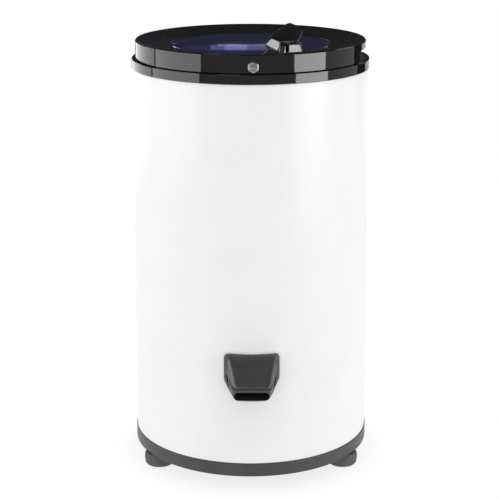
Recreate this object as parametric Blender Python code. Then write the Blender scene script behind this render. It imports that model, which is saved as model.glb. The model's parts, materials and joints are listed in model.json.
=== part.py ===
import math

import bmesh
import bpy
from mathutils import Matrix, Vector

for old in list(bpy.data.objects):
    bpy.data.objects.remove(old, do_unlink=True)

# Sizes shared by many pieces, in metres and degrees
GAP = 0.0003
WELD = 0.00002
SHARP = math.radians(32.0)
FLAT = math.radians(0.3)
BIG = 48
INNER = 36
MEDIUM = 24
FINE = 16
SMALL = 12
TINY = 6
BODY_R = 0.1704
FRONT_REACH_PROUD = 0.0426
FRONT_REACH = BODY_R + FRONT_REACH_PROUD
BACK_REACH_PROUD = 0.0056
BACK_REACH = BODY_R + BACK_REACH_PROUD
AXIS_Y = (FRONT_REACH - BACK_REACH) / 2
BODY_WALL = 0.0010
BODY_IN = BODY_R - BODY_WALL
SPIGOT_OUT = BODY_IN - GAP
SPIGOT_IN_INSET = 0.0042
SPIGOT_IN = BODY_R - SPIGOT_IN_INSET

# Helpers


def empty(name, parent, place):
    made = bpy.data.objects.new(name, None)
    bpy.context.scene.collection.objects.link(made)
    made.parent = parent
    made.location = place
    return made


DRYER = empty("dryer_axis", None, (0, AXIS_Y, 0))


def linked(name, data):
    made = bpy.data.objects.new(name, data)
    bpy.context.scene.collection.objects.link(made)
    made.parent = DRYER
    return made


def mesh_object(name, bm):
    bmesh.ops.remove_doubles(bm, verts=bm.verts, dist=WELD)
    bmesh.ops.recalc_face_normals(bm, faces=bm.faces)
    data = bpy.data.meshes.new(name)
    bm.to_mesh(data)
    bm.free()
    data.shade_smooth()
    data.set_sharp_from_angle(angle=SHARP)
    return linked(name, data)


def turned(name, profile, steps):
    bm = bmesh.new()
    verts = [bm.verts.new((r, 0, z)) for r, z in profile]
    pairs = [(verts[i - 1], verts[i]) for i in range(len(verts))]
    edges = [bm.edges.new((a, b)) for a, b in pairs if a.co.x > 0 or b.co.x > 0]
    bmesh.ops.spin(
        bm,
        geom=verts + edges,
        cent=(0, 0, 0),
        axis=(0, 0, 1),
        angle=math.tau,
        steps=steps,
        use_merge=True,
    )
    return mesh_object(name, bm)


def ring(name, inner, outer, low, high, steps=BIG):
    return turned(name, [(inner, low), (outer, low), (outer, high), (inner, high)], steps)


def placed(along, a, b, c):
    if along == "Z":
        return (a, b, c)
    if along == "Y":
        return (a, c, b)
    return (c, a, b)


def add_prism(bm, outline, low, high, along):
    base = [bm.verts.new(placed(along, a, b, low)) for a, b in outline]
    top = [bm.verts.new(placed(along, a, b, high)) for a, b in outline]
    bm.faces.new(base)
    bm.faces.new(top)
    for i in range(len(outline)):
        bm.faces.new((base[i - 1], base[i], top[i], top[i - 1]))


def prism(name, outline, low, high, along):
    bm = bmesh.new()
    add_prism(bm, outline, low, high, along)
    return mesh_object(name, bm)


def arc(centre, radius, start, end, steps):
    turns = [math.radians(start + (end - start) * i / steps) for i in range(steps + 1)]
    return [(centre[0] + radius * math.cos(t), centre[1] + radius * math.sin(t)) for t in turns]


def circle(centre, radius, steps):
    return arc(centre, radius, 0, 360, steps)[:-1]


def rod(name, centre, radius, low, high, along, steps=SMALL):
    return prism(name, circle(centre, radius, steps), low, high, along)


def rods(name, centres, radius, low, high, along, steps=SMALL):
    bm = bmesh.new()
    for centre in centres:
        add_prism(bm, circle(centre, radius, steps), low, high, along)
    return mesh_object(name, bm)


def block(name, low, high):
    outline = [(low[0], low[1]), (high[0], low[1]), (high[0], high[1]), (low[0], high[1])]
    return prism(name, outline, low[2], high[2], "Z")


def hull(name, points):
    bm = bmesh.new()
    for point in points:
        bm.verts.new(point)
    made = bmesh.ops.convex_hull(bm, input=bm.verts)
    loose = [v for v in made["geom_interior"] if isinstance(v, bmesh.types.BMVert)]
    bmesh.ops.delete(bm, geom=loose, context="VERTS")
    bmesh.ops.dissolve_limit(bm, angle_limit=FLAT, verts=bm.verts, edges=bm.edges)
    return mesh_object(name, bm)


def mirrored(centre, rows):
    return [(centre + side * x, y, z) for x, y, z in rows for side in (-1, 1)]


def combine(target, tool, operation):
    tool.hide_render = True
    tool.display_type = "WIRE"
    change = target.modifiers.new(tool.name, "BOOLEAN")
    change.operation = operation
    change.solver = "EXACT"
    change.object = tool


def cut(target, tool):
    combine(target, tool, "DIFFERENCE")


def join(target, tool):
    combine(target, tool, "UNION")


def cord(name, points, radius):
    data = bpy.data.curves.new(name, "CURVE")
    data.dimensions = "3D"
    data.resolution_u = 4
    data.bevel_depth = radius
    data.bevel_resolution = 1
    data.use_fill_caps = True
    spline = data.splines.new("NURBS")
    spline.points.add(len(points) - 1)
    for slot, point in zip(spline.points, points):
        slot.co = (point[0], point[1], point[2], 1)
    spline.order_u = 4
    spline.use_endpoint_u = True
    return linked(name, data)


def pivot_place(pivot):
    place = Vector((0, 0, 0))
    while pivot is not DRYER:
        place = place + pivot.location
        pivot = pivot.parent
    return place


def finish(made, colour, roughness, metallic, pivot=None):
    skin = bpy.data.materials.new(made.name + "_finish")
    skin.use_nodes = True
    shader = skin.node_tree.nodes["Principled BSDF"]
    shader.inputs["Base Color"].default_value = (*colour, 1)
    shader.inputs["Roughness"].default_value = roughness
    shader.inputs["Metallic"].default_value = metallic
    made.data.materials.append(skin)
    if pivot is not None:
        made.data.transform(Matrix.Translation(-pivot_place(pivot)))
        made.parent = pivot


WHITE = (0.84, 0.85, 0.85)
BLACK = (0.012, 0.012, 0.013)
DARK = (0.035, 0.036, 0.038)
RUBBER = (0.03, 0.03, 0.03)
STEEL = (0.62, 0.62, 0.63)
CHROME = (0.8, 0.8, 0.82)
ALLOY = (0.55, 0.56, 0.57)
ZINC = (0.5, 0.5, 0.48)
COPPER = (0.5, 0.24, 0.13)
GREY = (0.3, 0.31, 0.32)
RED = (0.6, 0.12, 0.08)
CREAM = (0.7, 0.7, 0.66)
BLUE = (0.02, 0.06, 0.2)

# Base ring, floor plate and air inlet
BASE_R_PROUD = 0.0011
BASE_R = BODY_R + BASE_R_PROUD
BASE_LOW = 0.0188
BASE_TOP = 0.0378
BASE_EDGE = 0.0012
BASE_SPIGOT_TOP = 0.0520
FLOOR_LOW = 0.0240
FLOOR_TOP = 0.0280
VENT_R = 0.0600
BOSS_TOP = 0.0360
BOSS_SINK = 0.0010
FOOT_BOSS_R = 0.0070
BUFFER_BOSS_R = 0.0100
FOOT_AT_INSET = 0.0164
FOOT_AT = BODY_R - FOOT_AT_INSET
BUFFER_AT = 0.0850
SCREW_R = 0.0020
SCREW_HOLE_R = SCREW_R + GAP
SCREW_HOLE_TOP = 0.0345
FOOT_TURNS = {"left": 210.0, "right": 330.0, "back": 90.0}
FOOT_PLACES = {
    side: (FOOT_AT * math.cos(math.radians(turn)), FOOT_AT * math.sin(math.radians(turn)))
    for side, turn in FOOT_TURNS.items()
}
BUFFER_PLACES = {
    side: (BUFFER_AT * math.cos(math.radians(turn)), BUFFER_AT * math.sin(math.radians(turn)))
    for side, turn in FOOT_TURNS.items()
}

base = turned(
    "base_ring",
    [
        (VENT_R, FLOOR_LOW),
        (SPIGOT_IN, FLOOR_LOW),
        (SPIGOT_IN, BASE_LOW),
        (BASE_R - BASE_EDGE, BASE_LOW),
        (BASE_R, BASE_LOW + BASE_EDGE),
        (BASE_R, BASE_TOP - BASE_EDGE),
        (BASE_R - BASE_EDGE, BASE_TOP),
        (SPIGOT_OUT, BASE_TOP),
        (SPIGOT_OUT, BASE_SPIGOT_TOP),
        (SPIGOT_IN, BASE_SPIGOT_TOP),
        (SPIGOT_IN, FLOOR_TOP),
        (VENT_R, FLOOR_TOP),
    ],
    BIG,
)
join(base, rods("foot_bosses", FOOT_PLACES.values(), FOOT_BOSS_R, FLOOR_TOP - BOSS_SINK, BOSS_TOP, "Z"))
join(base, rods("buffer_bosses", BUFFER_PLACES.values(), BUFFER_BOSS_R, FLOOR_TOP - BOSS_SINK, BOSS_TOP, "Z"))
cut(base, rods("foot_screw_holes", FOOT_PLACES.values(), SCREW_HOLE_R, BASE_LOW, SCREW_HOLE_TOP, "Z"))
finish(base, DARK, 0.45, 0.0)

# Rubber feet and their screws
FOOT_NECK_R = 0.0110
FOOT_TOP = BASE_LOW - GAP
FOOT_NECK_TOP = FLOOR_LOW - GAP
FOOT_TOP_R = 0.0195
FOOT_SHOULDER_R = 0.0215
FOOT_SHOULDER_Z = 0.0165
FOOT_WIDE_R = 0.0220
FOOT_WIDE_Z = 0.0100
FOOT_LOW_R = 0.0210
FOOT_LOW_Z = 0.0030
FOOT_SOLE_R = 0.0185
FOOT_WELL_R = 0.0062
FOOT_WELL_TOP = 0.0080
HEAD_R = 0.0059
HEAD_LOW = 0.0043
HEAD_TOP = FOOT_WELL_TOP - GAP
SHANK_TOP = 0.0335

for side, (foot_x, foot_y) in FOOT_PLACES.items():
    foot = turned(
        "foot_" + side,
        [
            (SCREW_HOLE_R, FOOT_WELL_TOP),
            (FOOT_WELL_R, FOOT_WELL_TOP),
            (FOOT_WELL_R, 0),
            (FOOT_SOLE_R, 0),
            (FOOT_LOW_R, FOOT_LOW_Z),
            (FOOT_WIDE_R, FOOT_WIDE_Z),
            (FOOT_SHOULDER_R, FOOT_SHOULDER_Z),
            (FOOT_TOP_R, FOOT_TOP),
            (FOOT_NECK_R, FOOT_TOP),
            (FOOT_NECK_R, FOOT_NECK_TOP),
            (SCREW_HOLE_R, FOOT_NECK_TOP),
        ],
        SMALL,
    )
    foot.location = (foot_x, foot_y, 0)
    finish(foot, RUBBER, 0.8, 0.0)
    screw = turned(
        "foot_screw_" + side,
        [
            (0, HEAD_LOW), (HEAD_R, HEAD_LOW), (HEAD_R, HEAD_TOP),
            (SCREW_R, HEAD_TOP), (SCREW_R, SHANK_TOP), (0, SHANK_TOP),
        ],
        SMALL,
    )
    screw.location = (foot_x, foot_y, 0)
    finish(screw, ZINC, 0.35, 1.0)

# Collar with the ledge under the lid
COLLAR_R_PROUD = 0.0021
COLLAR_R = BODY_R + COLLAR_R_PROUD
COLLAR_LOW = 0.5764
LEDGE_Z = 0.5917
LEDGE_THICK = 0.0030
LEDGE_IN_INSET = 0.0304
LEDGE_IN = BODY_R - LEDGE_IN_INSET
COLLAR_EDGE = 0.0012
RIM_SEAL_LOW = 0.5563
RIM_SEAL_TOP = 0.5590
COLLAR_SPIGOT_LOW = RIM_SEAL_TOP + GAP
PLATE_LOW = LEDGE_Z - LEDGE_THICK

collar = turned(
    "collar",
    [
        (SPIGOT_IN, COLLAR_SPIGOT_LOW),
        (SPIGOT_OUT, COLLAR_SPIGOT_LOW),
        (SPIGOT_OUT, COLLAR_LOW),
        (COLLAR_R - COLLAR_EDGE, COLLAR_LOW),
        (COLLAR_R, COLLAR_LOW + COLLAR_EDGE),
        (COLLAR_R, LEDGE_Z - COLLAR_EDGE),
        (COLLAR_R - COLLAR_EDGE, LEDGE_Z),
        (LEDGE_IN, LEDGE_Z),
        (LEDGE_IN, PLATE_LOW),
        (SPIGOT_IN, PLATE_LOW),
    ],
    BIG,
)

# Hinge place at the left and latch place at the front
HINGE_X_INSET = 0.0069
HINGE_X = HINGE_X_INSET - BODY_R
HINGE_Z = 0.6115
LATCH_X = 0.0037
LATCH_Z = 0.6003
OVER = 0.0020

# Slots in the collar for the hook and for the hinge stem
HOOK_SLOT_LEFT = -0.0185
HOOK_SLOT_RIGHT = 0.0080
HOOK_SLOT_FRONT_INSET = 0.0104
HOOK_SLOT_FRONT = HOOK_SLOT_FRONT_INSET - BODY_R
HOOK_SLOT_BACK_INSET = 0.0184
HOOK_SLOT_BACK = HOOK_SLOT_BACK_INSET - BODY_R
STEM_LEFT_INSET = 0.0064
STEM_LEFT = STEM_LEFT_INSET - BODY_R
STEM_RIGHT_INSET = 0.0118
STEM_RIGHT = STEM_RIGHT_INSET - BODY_R
STEM_HALF = 0.0085
cut(
    collar,
    block(
        "hook_slot",
        (HOOK_SLOT_LEFT, HOOK_SLOT_FRONT, PLATE_LOW - OVER),
        (HOOK_SLOT_RIGHT, HOOK_SLOT_BACK, LEDGE_Z + OVER),
    ),
)
cut(
    collar,
    block(
        "stem_slot",
        (STEM_LEFT - GAP, -STEM_HALF - GAP, PLATE_LOW - OVER),
        (STEM_RIGHT + GAP, STEM_HALF + GAP, LEDGE_Z + OVER),
    ),
)
finish(collar, DARK, 0.42, 0.0)

# Outer shell with the holes for the drain and the cord gland
SHELL_LOW = BASE_TOP + GAP
SHELL_TOP = COLLAR_LOW - GAP
SPOUT_X = 0.0022
PORT_Z = 0.1680
PORT_HOLE_R = 0.0125
GLAND_Z = 0.0700
GLAND_R = 0.0090
WALL_REACH_PROUD = 0.0096
WALL_REACH = BODY_R + WALL_REACH_PROUD
WALL_START_INSET = 0.0104
WALL_START = BODY_R - WALL_START_INSET

shell = ring("housing_shell", BODY_IN, BODY_R, SHELL_LOW, SHELL_TOP)
cut(shell, rod("port_hole", (SPOUT_X, PORT_Z), PORT_HOLE_R, -WALL_REACH, -WALL_START, "Y"))
cut(shell, rod("gland_hole", (0, GLAND_Z), GLAND_R + GAP, WALL_START, WALL_REACH, "Y"))
finish(shell, WHITE, 0.32, 0.0)

# Splash funnel under the collar
FUNNEL_TOP = PLATE_LOW - GAP
FUNNEL_FLANGE = 0.0020
FUNNEL_FLANGE_R_INSET = 0.0229
FUNNEL_FLANGE_R = BODY_R - FUNNEL_FLANGE_R_INSET
FUNNEL_IN_TOP_R_INSET = 0.0334
FUNNEL_IN_TOP_R = BODY_R - FUNNEL_IN_TOP_R_INSET
FUNNEL_OUT_TOP_R_INSET = 0.0312
FUNNEL_OUT_TOP_R = BODY_R - FUNNEL_OUT_TOP_R_INSET
FUNNEL_IN_R_INSET = 0.0744
FUNNEL_IN_R = BODY_R - FUNNEL_IN_R_INSET
FUNNEL_OUT_R_INSET = 0.0722
FUNNEL_OUT_R = BODY_R - FUNNEL_OUT_R_INSET
FUNNEL_KNEE = 0.5580
FUNNEL_OUT_KNEE = 0.5570
FUNNEL_LOW = 0.5480
funnel = turned(
    "splash_funnel",
    [
        (FUNNEL_IN_R, FUNNEL_LOW),
        (FUNNEL_OUT_R, FUNNEL_LOW),
        (FUNNEL_OUT_R, FUNNEL_OUT_KNEE),
        (FUNNEL_OUT_TOP_R, FUNNEL_TOP - FUNNEL_FLANGE),
        (FUNNEL_FLANGE_R, FUNNEL_TOP - FUNNEL_FLANGE),
        (FUNNEL_FLANGE_R, FUNNEL_TOP),
        (FUNNEL_IN_TOP_R, FUNNEL_TOP),
        (FUNNEL_IN_R, FUNNEL_KNEE),
    ],
    INNER,
)
finish(funnel, GREY, 0.45, 0.0)

# Tub, hung by its flange under the collar
TUB_R_INSET = 0.0184
TUB_R = BODY_R - TUB_R_INSET
TUB_IN_INSET = 0.0214
TUB_IN = BODY_R - TUB_IN_INSET
TUB_LOW = 0.2050
TUB_FLOOR = 0.2080
TUB_FLANGE_LOW = 0.5530
TUB_TOP = 0.5560
TUB_FLANGE_R_INSET = 0.0016
TUB_FLANGE_R = BODY_R - TUB_FLANGE_R_INSET
TUB_HOLE_R = 0.0260
DRAIN_Y_INSET = 0.0454
DRAIN_Y = DRAIN_Y_INSET - BODY_R
NOZZLE_R = 0.0110
NOZZLE_BORE = 0.0085
NOZZLE_LOW = 0.1900
LEAD_SLOT_LEFT = 0.0205
LEAD_SLOT_RIGHT = 0.0320
LEAD_SLOT_FRONT_INSET = 0.0089
LEAD_SLOT_FRONT = LEAD_SLOT_FRONT_INSET - BODY_R
LEAD_SLOT_BACK_INSET = 0.0162
LEAD_SLOT_BACK = LEAD_SLOT_BACK_INSET - BODY_R
tub = turned(
    "tub",
    [
        (TUB_HOLE_R, TUB_LOW),
        (TUB_R, TUB_LOW),
        (TUB_R, TUB_FLANGE_LOW),
        (TUB_FLANGE_R, TUB_FLANGE_LOW),
        (TUB_FLANGE_R, TUB_TOP),
        (TUB_IN, TUB_TOP),
        (TUB_IN, TUB_FLOOR),
        (TUB_HOLE_R, TUB_FLOOR),
    ],
    INNER,
)
join(tub, rod("tub_nozzle", (SPOUT_X, DRAIN_Y), NOZZLE_R, NOZZLE_LOW, TUB_LOW + BOSS_SINK, "Z"))
cut(tub, rod("tub_drain", (SPOUT_X, DRAIN_Y), NOZZLE_BORE, NOZZLE_LOW - OVER, TUB_FLOOR + OVER, "Z"))
cut(
    tub,
    block(
        "lead_slot",
        (LEAD_SLOT_LEFT, LEAD_SLOT_FRONT, TUB_FLANGE_LOW - OVER),
        (LEAD_SLOT_RIGHT, LEAD_SLOT_BACK, TUB_TOP + OVER),
    ),
)
finish(tub, GREY, 0.5, 0.0)
RIM_SEAL_IN_INSET = 0.0056
RIM_SEAL_IN = BODY_R - RIM_SEAL_IN_INSET
RIM_SEAL_R_INSET = 0.0018
RIM_SEAL_R = BODY_R - RIM_SEAL_R_INSET
tub_seal = ring("tub_rim_seal", RIM_SEAL_IN, RIM_SEAL_R, RIM_SEAL_LOW, RIM_SEAL_TOP, INNER)
finish(tub_seal, RUBBER, 0.8, 0.0)

# Shaft seal in the tub's floor
SHAFT_R = 0.0060
COLLET_R = 0.0075
SEAL_IN = COLLET_R + GAP
SEAL_R = 0.0300
SEAL_LOW = 0.2020
SEAL_GROOVE_R = TUB_HOLE_R - GAP
SEAL_TOP = 0.2105
SEAL_LIP_R = 0.0120
SEAL_LIP_LOW = 0.2115
SEAL_LIP_TOP = 0.2140
shaft_seal = turned(
    "shaft_seal",
    [
        (SEAL_IN, SEAL_LOW),
        (SEAL_R, SEAL_LOW),
        (SEAL_R, TUB_LOW - GAP),
        (SEAL_GROOVE_R, TUB_LOW - GAP),
        (SEAL_GROOVE_R, TUB_FLOOR + GAP),
        (SEAL_R, TUB_FLOOR + GAP),
        (SEAL_R, SEAL_TOP),
        (SEAL_LIP_R, SEAL_LIP_LOW),
        (SEAL_IN, SEAL_LIP_TOP),
    ],
    FINE,
)
finish(shaft_seal, RUBBER, 0.75, 0.0)

# Drain hose between the tub and the spout
HOSE_R = 0.0140
HOSE_BORE = NOZZLE_R + GAP
HOSE_TOP = 0.2030
HOSE_BEND = 0.0200
HOSE_END_INSET = 0.0044
HOSE_END = HOSE_END_INSET - BODY_R
HOSE_BEND_STEPS = 8
HOSE_SPARE = 0.0040


def hose_path(spare):
    turn_y = DRAIN_Y - HOSE_BEND
    turn_z = PORT_Z + HOSE_BEND
    bend = arc((turn_y, turn_z), HOSE_BEND, 0, -90, HOSE_BEND_STEPS)
    path = [(DRAIN_Y, HOSE_TOP + spare)] + bend + [(HOSE_END - spare, PORT_Z)]
    return [(SPOUT_X, y, z) for y, z in path]


def swept(name, path, radius, steps):
    bm = bmesh.new()
    rings = []
    last = len(path) - 1
    for i, point in enumerate(path):
        ahead = Vector(path[min(i + 1, last)]) - Vector(path[max(i - 1, 0)])
        ahead.normalize()
        side = Vector((1, 0, 0))
        up = ahead.cross(side)
        around = circle((0, 0), radius, steps)
        rings.append([bm.verts.new(Vector(point) + side * a + up * b) for a, b in around])
    for near, far in zip(rings[:-1], rings[1:]):
        for j in range(steps):
            bm.faces.new((near[j - 1], near[j], far[j], far[j - 1]))
    bm.faces.new(rings[0])
    bm.faces.new(rings[-1])
    return mesh_object(name, bm)


hose = swept("drain_hose", hose_path(0), HOSE_R, SMALL)
cut(hose, swept("hose_bore", hose_path(HOSE_SPARE), HOSE_BORE, SMALL))
finish(hose, RUBBER, 0.7, 0.0)

# Drain spout: plate and chute in one, following the shell
PLATE_IN_PROUD = 0.0015
PLATE_IN = BODY_R + PLATE_IN_PROUD
PLATE_R_PROUD = 0.0046
PLATE_R = BODY_R + PLATE_R_PROUD
PLATE_BAND_LOW = 0.1300
PLATE_BAND_TOP = 0.2020
PLATE_TOP = 0.1982
PLATE_DIP = 0.0008
PLATE_HALF = 0.0385
PLATE_CORNER_IN = 0.0340
PLATE_CORNER_MID = 0.0371
PLATE_CORNER_Z = 0.1970
PLATE_CORNER_LOW = 0.1940
PLATE_SIDE_LOW = 0.1622
PLATE_TAPER_HALF = 0.0280
PLATE_TAPER_LOW = 0.1390
PLATE_FOOT_HALF = 0.0240
PLATE_LOW_EDGE = 0.1362
PLATE_FRONT_PROUD = 0.0146
PLATE_FRONT = -BODY_R - PLATE_FRONT_PROUD
PLATE_BACK_INSET = 0.0204
PLATE_BACK = PLATE_BACK_INSET - BODY_R
PLATE_EDGES = [
    (PLATE_HALF, PLATE_CORNER_LOW),
    (PLATE_HALF, PLATE_SIDE_LOW),
    (PLATE_TAPER_HALF, PLATE_TAPER_LOW),
    (PLATE_FOOT_HALF, PLATE_LOW_EDGE),
]
PLATE_TOP_EDGES = [(PLATE_CORNER_IN, PLATE_TOP), (PLATE_CORNER_MID, PLATE_CORNER_Z)]


def plate_outline(inset):
    right = [(SPOUT_X + x - inset, z) for x, z in PLATE_TOP_EDGES + PLATE_EDGES]
    left = [(SPOUT_X - x + inset, z) for x, z in reversed(PLATE_TOP_EDGES + PLATE_EDGES)]
    return [(SPOUT_X, PLATE_TOP - PLATE_DIP)] + right + left


CHUTE_BACK_INSET = 0.0024
CHUTE_BACK = CHUTE_BACK_INSET - BODY_R
CHUTE_NOSE = -FRONT_REACH
CHUTE_BACK_HALF = 0.0376
CHUTE_BACK_TOP = 0.1715
CHUTE_BACK_SIDE = 0.1625
CHUTE_BACK_FLOOR_HALF = 0.0276
CHUTE_BACK_FLOOR = 0.1400
CHUTE_NOSE_HALF = 0.0287
CHUTE_NOSE_TOP = 0.1608
CHUTE_NOSE_SIDE = 0.1546
CHUTE_NOSE_FLOOR_HALF = 0.0219
CHUTE_NOSE_FLOOR = 0.1454
SPOUT_BORE_START_INSET = 0.0234
SPOUT_BORE_START = SPOUT_BORE_START_INSET - BODY_R
SPOUT_BORE_JOIN_PROUD = 0.0031
SPOUT_BORE_JOIN = -BODY_R - SPOUT_BORE_JOIN_PROUD
SPOUT_BORE_END_PROUD = 0.0086
SPOUT_BORE_END = -BODY_R - SPOUT_BORE_END_PROUD
CHAMBER_BACK_PROUD = 0.0061
CHAMBER_BACK = -BODY_R - CHAMBER_BACK_PROUD
CHAMBER_FRONT_PROUD = 0.0388
CHAMBER_FRONT = -BODY_R - CHAMBER_FRONT_PROUD
CHAMBER_TOP = 0.1800
CHAMBER_BACK_HALF = 0.0310
CHAMBER_BACK_SIDE = 0.1600
CHAMBER_BACK_FLOOR_HALF = 0.0220
CHAMBER_BACK_FLOOR = 0.1465
CHAMBER_FRONT_TOP = 0.1660
CHAMBER_FRONT_HALF = 0.0242
CHAMBER_FRONT_SIDE = 0.1540
CHAMBER_FRONT_FLOOR_HALF = 0.0185
CHAMBER_FRONT_FLOOR = 0.1500
OUTLET_HALF = 0.0244
OUTLET_LOW = 0.1487
OUTLET_TOP = 0.1576
OUTLET_R = (OUTLET_TOP - OUTLET_LOW) / 2
OUTLET_MID = (OUTLET_TOP + OUTLET_LOW) / 2
OUTLET_START_PROUD = 0.0366
OUTLET_START = -BODY_R - OUTLET_START_PROUD

chute = ring("spout_chute", PLATE_IN, PLATE_R, PLATE_BAND_LOW, PLATE_BAND_TOP)
combine(chute, prism("plate_shape", plate_outline(0), PLATE_FRONT, PLATE_BACK, "Y"), "INTERSECT")
chute_body = hull(
    "chute_body",
    mirrored(
        SPOUT_X,
        [
            (CHUTE_BACK_HALF, CHUTE_BACK, CHUTE_BACK_TOP),
            (CHUTE_BACK_HALF, CHUTE_BACK, CHUTE_BACK_SIDE),
            (CHUTE_BACK_FLOOR_HALF, CHUTE_BACK, CHUTE_BACK_FLOOR),
            (CHUTE_NOSE_HALF, CHUTE_NOSE, CHUTE_NOSE_TOP),
            (CHUTE_NOSE_HALF, CHUTE_NOSE, CHUTE_NOSE_SIDE),
            (CHUTE_NOSE_FLOOR_HALF, CHUTE_NOSE, CHUTE_NOSE_FLOOR),
        ],
    ),
)
join(chute, chute_body)
wall_round = [
    (0, PLATE_BAND_LOW), (PLATE_IN, PLATE_BAND_LOW),
    (PLATE_IN, PLATE_BAND_TOP), (0, PLATE_BAND_TOP),
]
cut(chute, turned("wall_round", wall_round, BIG))
join(chute, rod("spout_nozzle", (SPOUT_X, PORT_Z), NOZZLE_R, SPOUT_BORE_JOIN, SPOUT_BORE_START, "Y"))
cut(
    chute,
    hull(
        "chute_room",
        mirrored(
            SPOUT_X,
            [
                (CHAMBER_BACK_HALF, CHAMBER_BACK, CHAMBER_TOP),
                (CHAMBER_BACK_HALF, CHAMBER_BACK, CHAMBER_BACK_SIDE),
                (CHAMBER_BACK_FLOOR_HALF, CHAMBER_BACK, CHAMBER_BACK_FLOOR),
                (CHAMBER_FRONT_HALF, CHAMBER_FRONT, CHAMBER_FRONT_TOP),
                (CHAMBER_FRONT_HALF, CHAMBER_FRONT, CHAMBER_FRONT_SIDE),
                (CHAMBER_FRONT_FLOOR_HALF, CHAMBER_FRONT, CHAMBER_FRONT_FLOOR),
            ],
        ),
    ),
)
cut(chute, rod("spout_bore", (SPOUT_X, PORT_Z), NOZZLE_BORE, SPOUT_BORE_END, SPOUT_BORE_START + OVER, "Y"))
OUTLET_ARC = OUTLET_HALF - OUTLET_R
cut(
    chute,
    prism(
        "outlet",
        arc((SPOUT_X + OUTLET_ARC, OUTLET_MID), OUTLET_R, -90, 90, TINY)
        + arc((SPOUT_X - OUTLET_ARC, OUTLET_MID), OUTLET_R, 90, 270, TINY),
        CHUTE_NOSE - OVER,
        OUTLET_START,
        "Y",
    ),
)
finish(chute, BLACK, 0.35, 0.0)

# Hood over the chute
HOOD_FRONT_PROUD = 0.0061
HOOD_FRONT = -BODY_R - HOOD_FRONT_PROUD
HOOD_TOP = 0.1948
HOOD_TOP_HALF = 0.0295
HOOD_BACK_HALF = 0.0364
HOOD_BACK_LOW = 0.1719
HOOD_NOSE_PROUD = 0.0414
HOOD_NOSE = -BODY_R - HOOD_NOSE_PROUD
HOOD_NOSE_HALF = 0.0210
HOOD_NOSE_SIDE = 0.0280
HOOD_NOSE_LOW = 0.1615
HOOD_ROOM_BACK_PROUD = 0.0081
HOOD_ROOM_BACK = -BODY_R - HOOD_ROOM_BACK_PROUD
HOOD_ROOM_TOP = 0.1880
HOOD_ROOM_TOP_HALF = 0.0260
HOOD_ROOM_BACK_HALF = 0.0320
HOOD_ROOM_BACK_LOW = 0.1640
HOOD_ROOM_NOSE_PROUD = 0.0371
HOOD_ROOM_NOSE = -BODY_R - HOOD_ROOM_NOSE_PROUD
HOOD_ROOM_NOSE_TOP = 0.1610
HOOD_ROOM_NOSE_HALF = 0.0190
HOOD_ROOM_NOSE_SIDE = 0.0240
HOOD_ROOM_NOSE_LOW = 0.1540
hood = hull(
    "spout_hood",
    mirrored(
        SPOUT_X,
        [
            (HOOD_TOP_HALF, CHUTE_BACK, HOOD_TOP),
            (HOOD_TOP_HALF, HOOD_FRONT, HOOD_TOP),
            (HOOD_BACK_HALF, CHUTE_BACK, HOOD_BACK_LOW),
            (HOOD_NOSE_HALF, HOOD_NOSE, HOOD_NOSE_LOW),
            (HOOD_NOSE_SIDE, HOOD_NOSE, HOOD_NOSE_LOW),
        ],
    ),
)
cut(
    hood,
    hull(
        "hood_room",
        mirrored(
            SPOUT_X,
            [
                (HOOD_ROOM_TOP_HALF, HOOD_ROOM_BACK, HOOD_ROOM_TOP),
                (HOOD_ROOM_BACK_HALF, HOOD_ROOM_BACK, HOOD_ROOM_BACK_LOW),
                (HOOD_ROOM_NOSE_HALF, HOOD_ROOM_NOSE, HOOD_ROOM_NOSE_TOP),
                (HOOD_ROOM_NOSE_SIDE, HOOD_ROOM_NOSE, HOOD_ROOM_NOSE_LOW),
            ],
        ),
    ),
)
HOOD_WALL = PLATE_R + GAP
hood_round = [
    (0, PLATE_BAND_LOW), (HOOD_WALL, PLATE_BAND_LOW),
    (HOOD_WALL, PLATE_BAND_TOP), (0, PLATE_BAND_TOP),
]
cut(hood, turned("hood_wall_round", hood_round, BIG))
finish(hood, BLACK, 0.4, 0.0)

# Gasket between the shell and the spout
GASKET_INSET = 0.0012
gasket = ring("spout_gasket", BODY_R + GAP, PLATE_IN - GAP, PLATE_BAND_LOW, PLATE_BAND_TOP)
combine(gasket, prism("gasket_shape", plate_outline(GASKET_INSET), PLATE_FRONT, PLATE_BACK, "Y"), "INTERSECT")
cut(gasket, rod("gasket_hole", (SPOUT_X, PORT_Z), PORT_HOLE_R, -WALL_REACH, -WALL_START, "Y"))
finish(gasket, RUBBER, 0.8, 0.0)

# Cord gland at the back
GLAND_FLANGE_R = 0.0130
GLAND_BORE = 0.0037
GLAND_IN_START_INSET = 0.0104
GLAND_IN_START = BODY_R - GLAND_IN_START_INSET
GLAND_NUT_START_INSET = 0.0069
GLAND_NUT_START = BODY_R - GLAND_NUT_START_INSET
GLAND_NUT_END_INSET = 0.0022
GLAND_NUT_END = BODY_R - GLAND_NUT_END_INSET
GLAND_PLATE_START_PROUD = 0.0004
GLAND_PLATE_START = BODY_R + GLAND_PLATE_START_PROUD
GLAND_PLATE_END_PROUD = 0.0031
GLAND_PLATE_END = BODY_R + GLAND_PLATE_END_PROUD
GLAND_TIP_R = 0.0065
gland = turned(
    "cord_gland",
    [
        (GLAND_BORE, GLAND_IN_START),
        (GLAND_R, GLAND_IN_START),
        (GLAND_R, GLAND_NUT_START),
        (GLAND_FLANGE_R, GLAND_NUT_START),
        (GLAND_FLANGE_R, GLAND_NUT_END),
        (GLAND_R, GLAND_NUT_END),
        (GLAND_R, GLAND_PLATE_START),
        (GLAND_FLANGE_R, GLAND_PLATE_START),
        (GLAND_FLANGE_R, GLAND_PLATE_END),
        (GLAND_TIP_R, BACK_REACH),
        (GLAND_BORE, BACK_REACH),
    ],
    SMALL,
)
gland.location = (0, 0, GLAND_Z)
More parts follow.
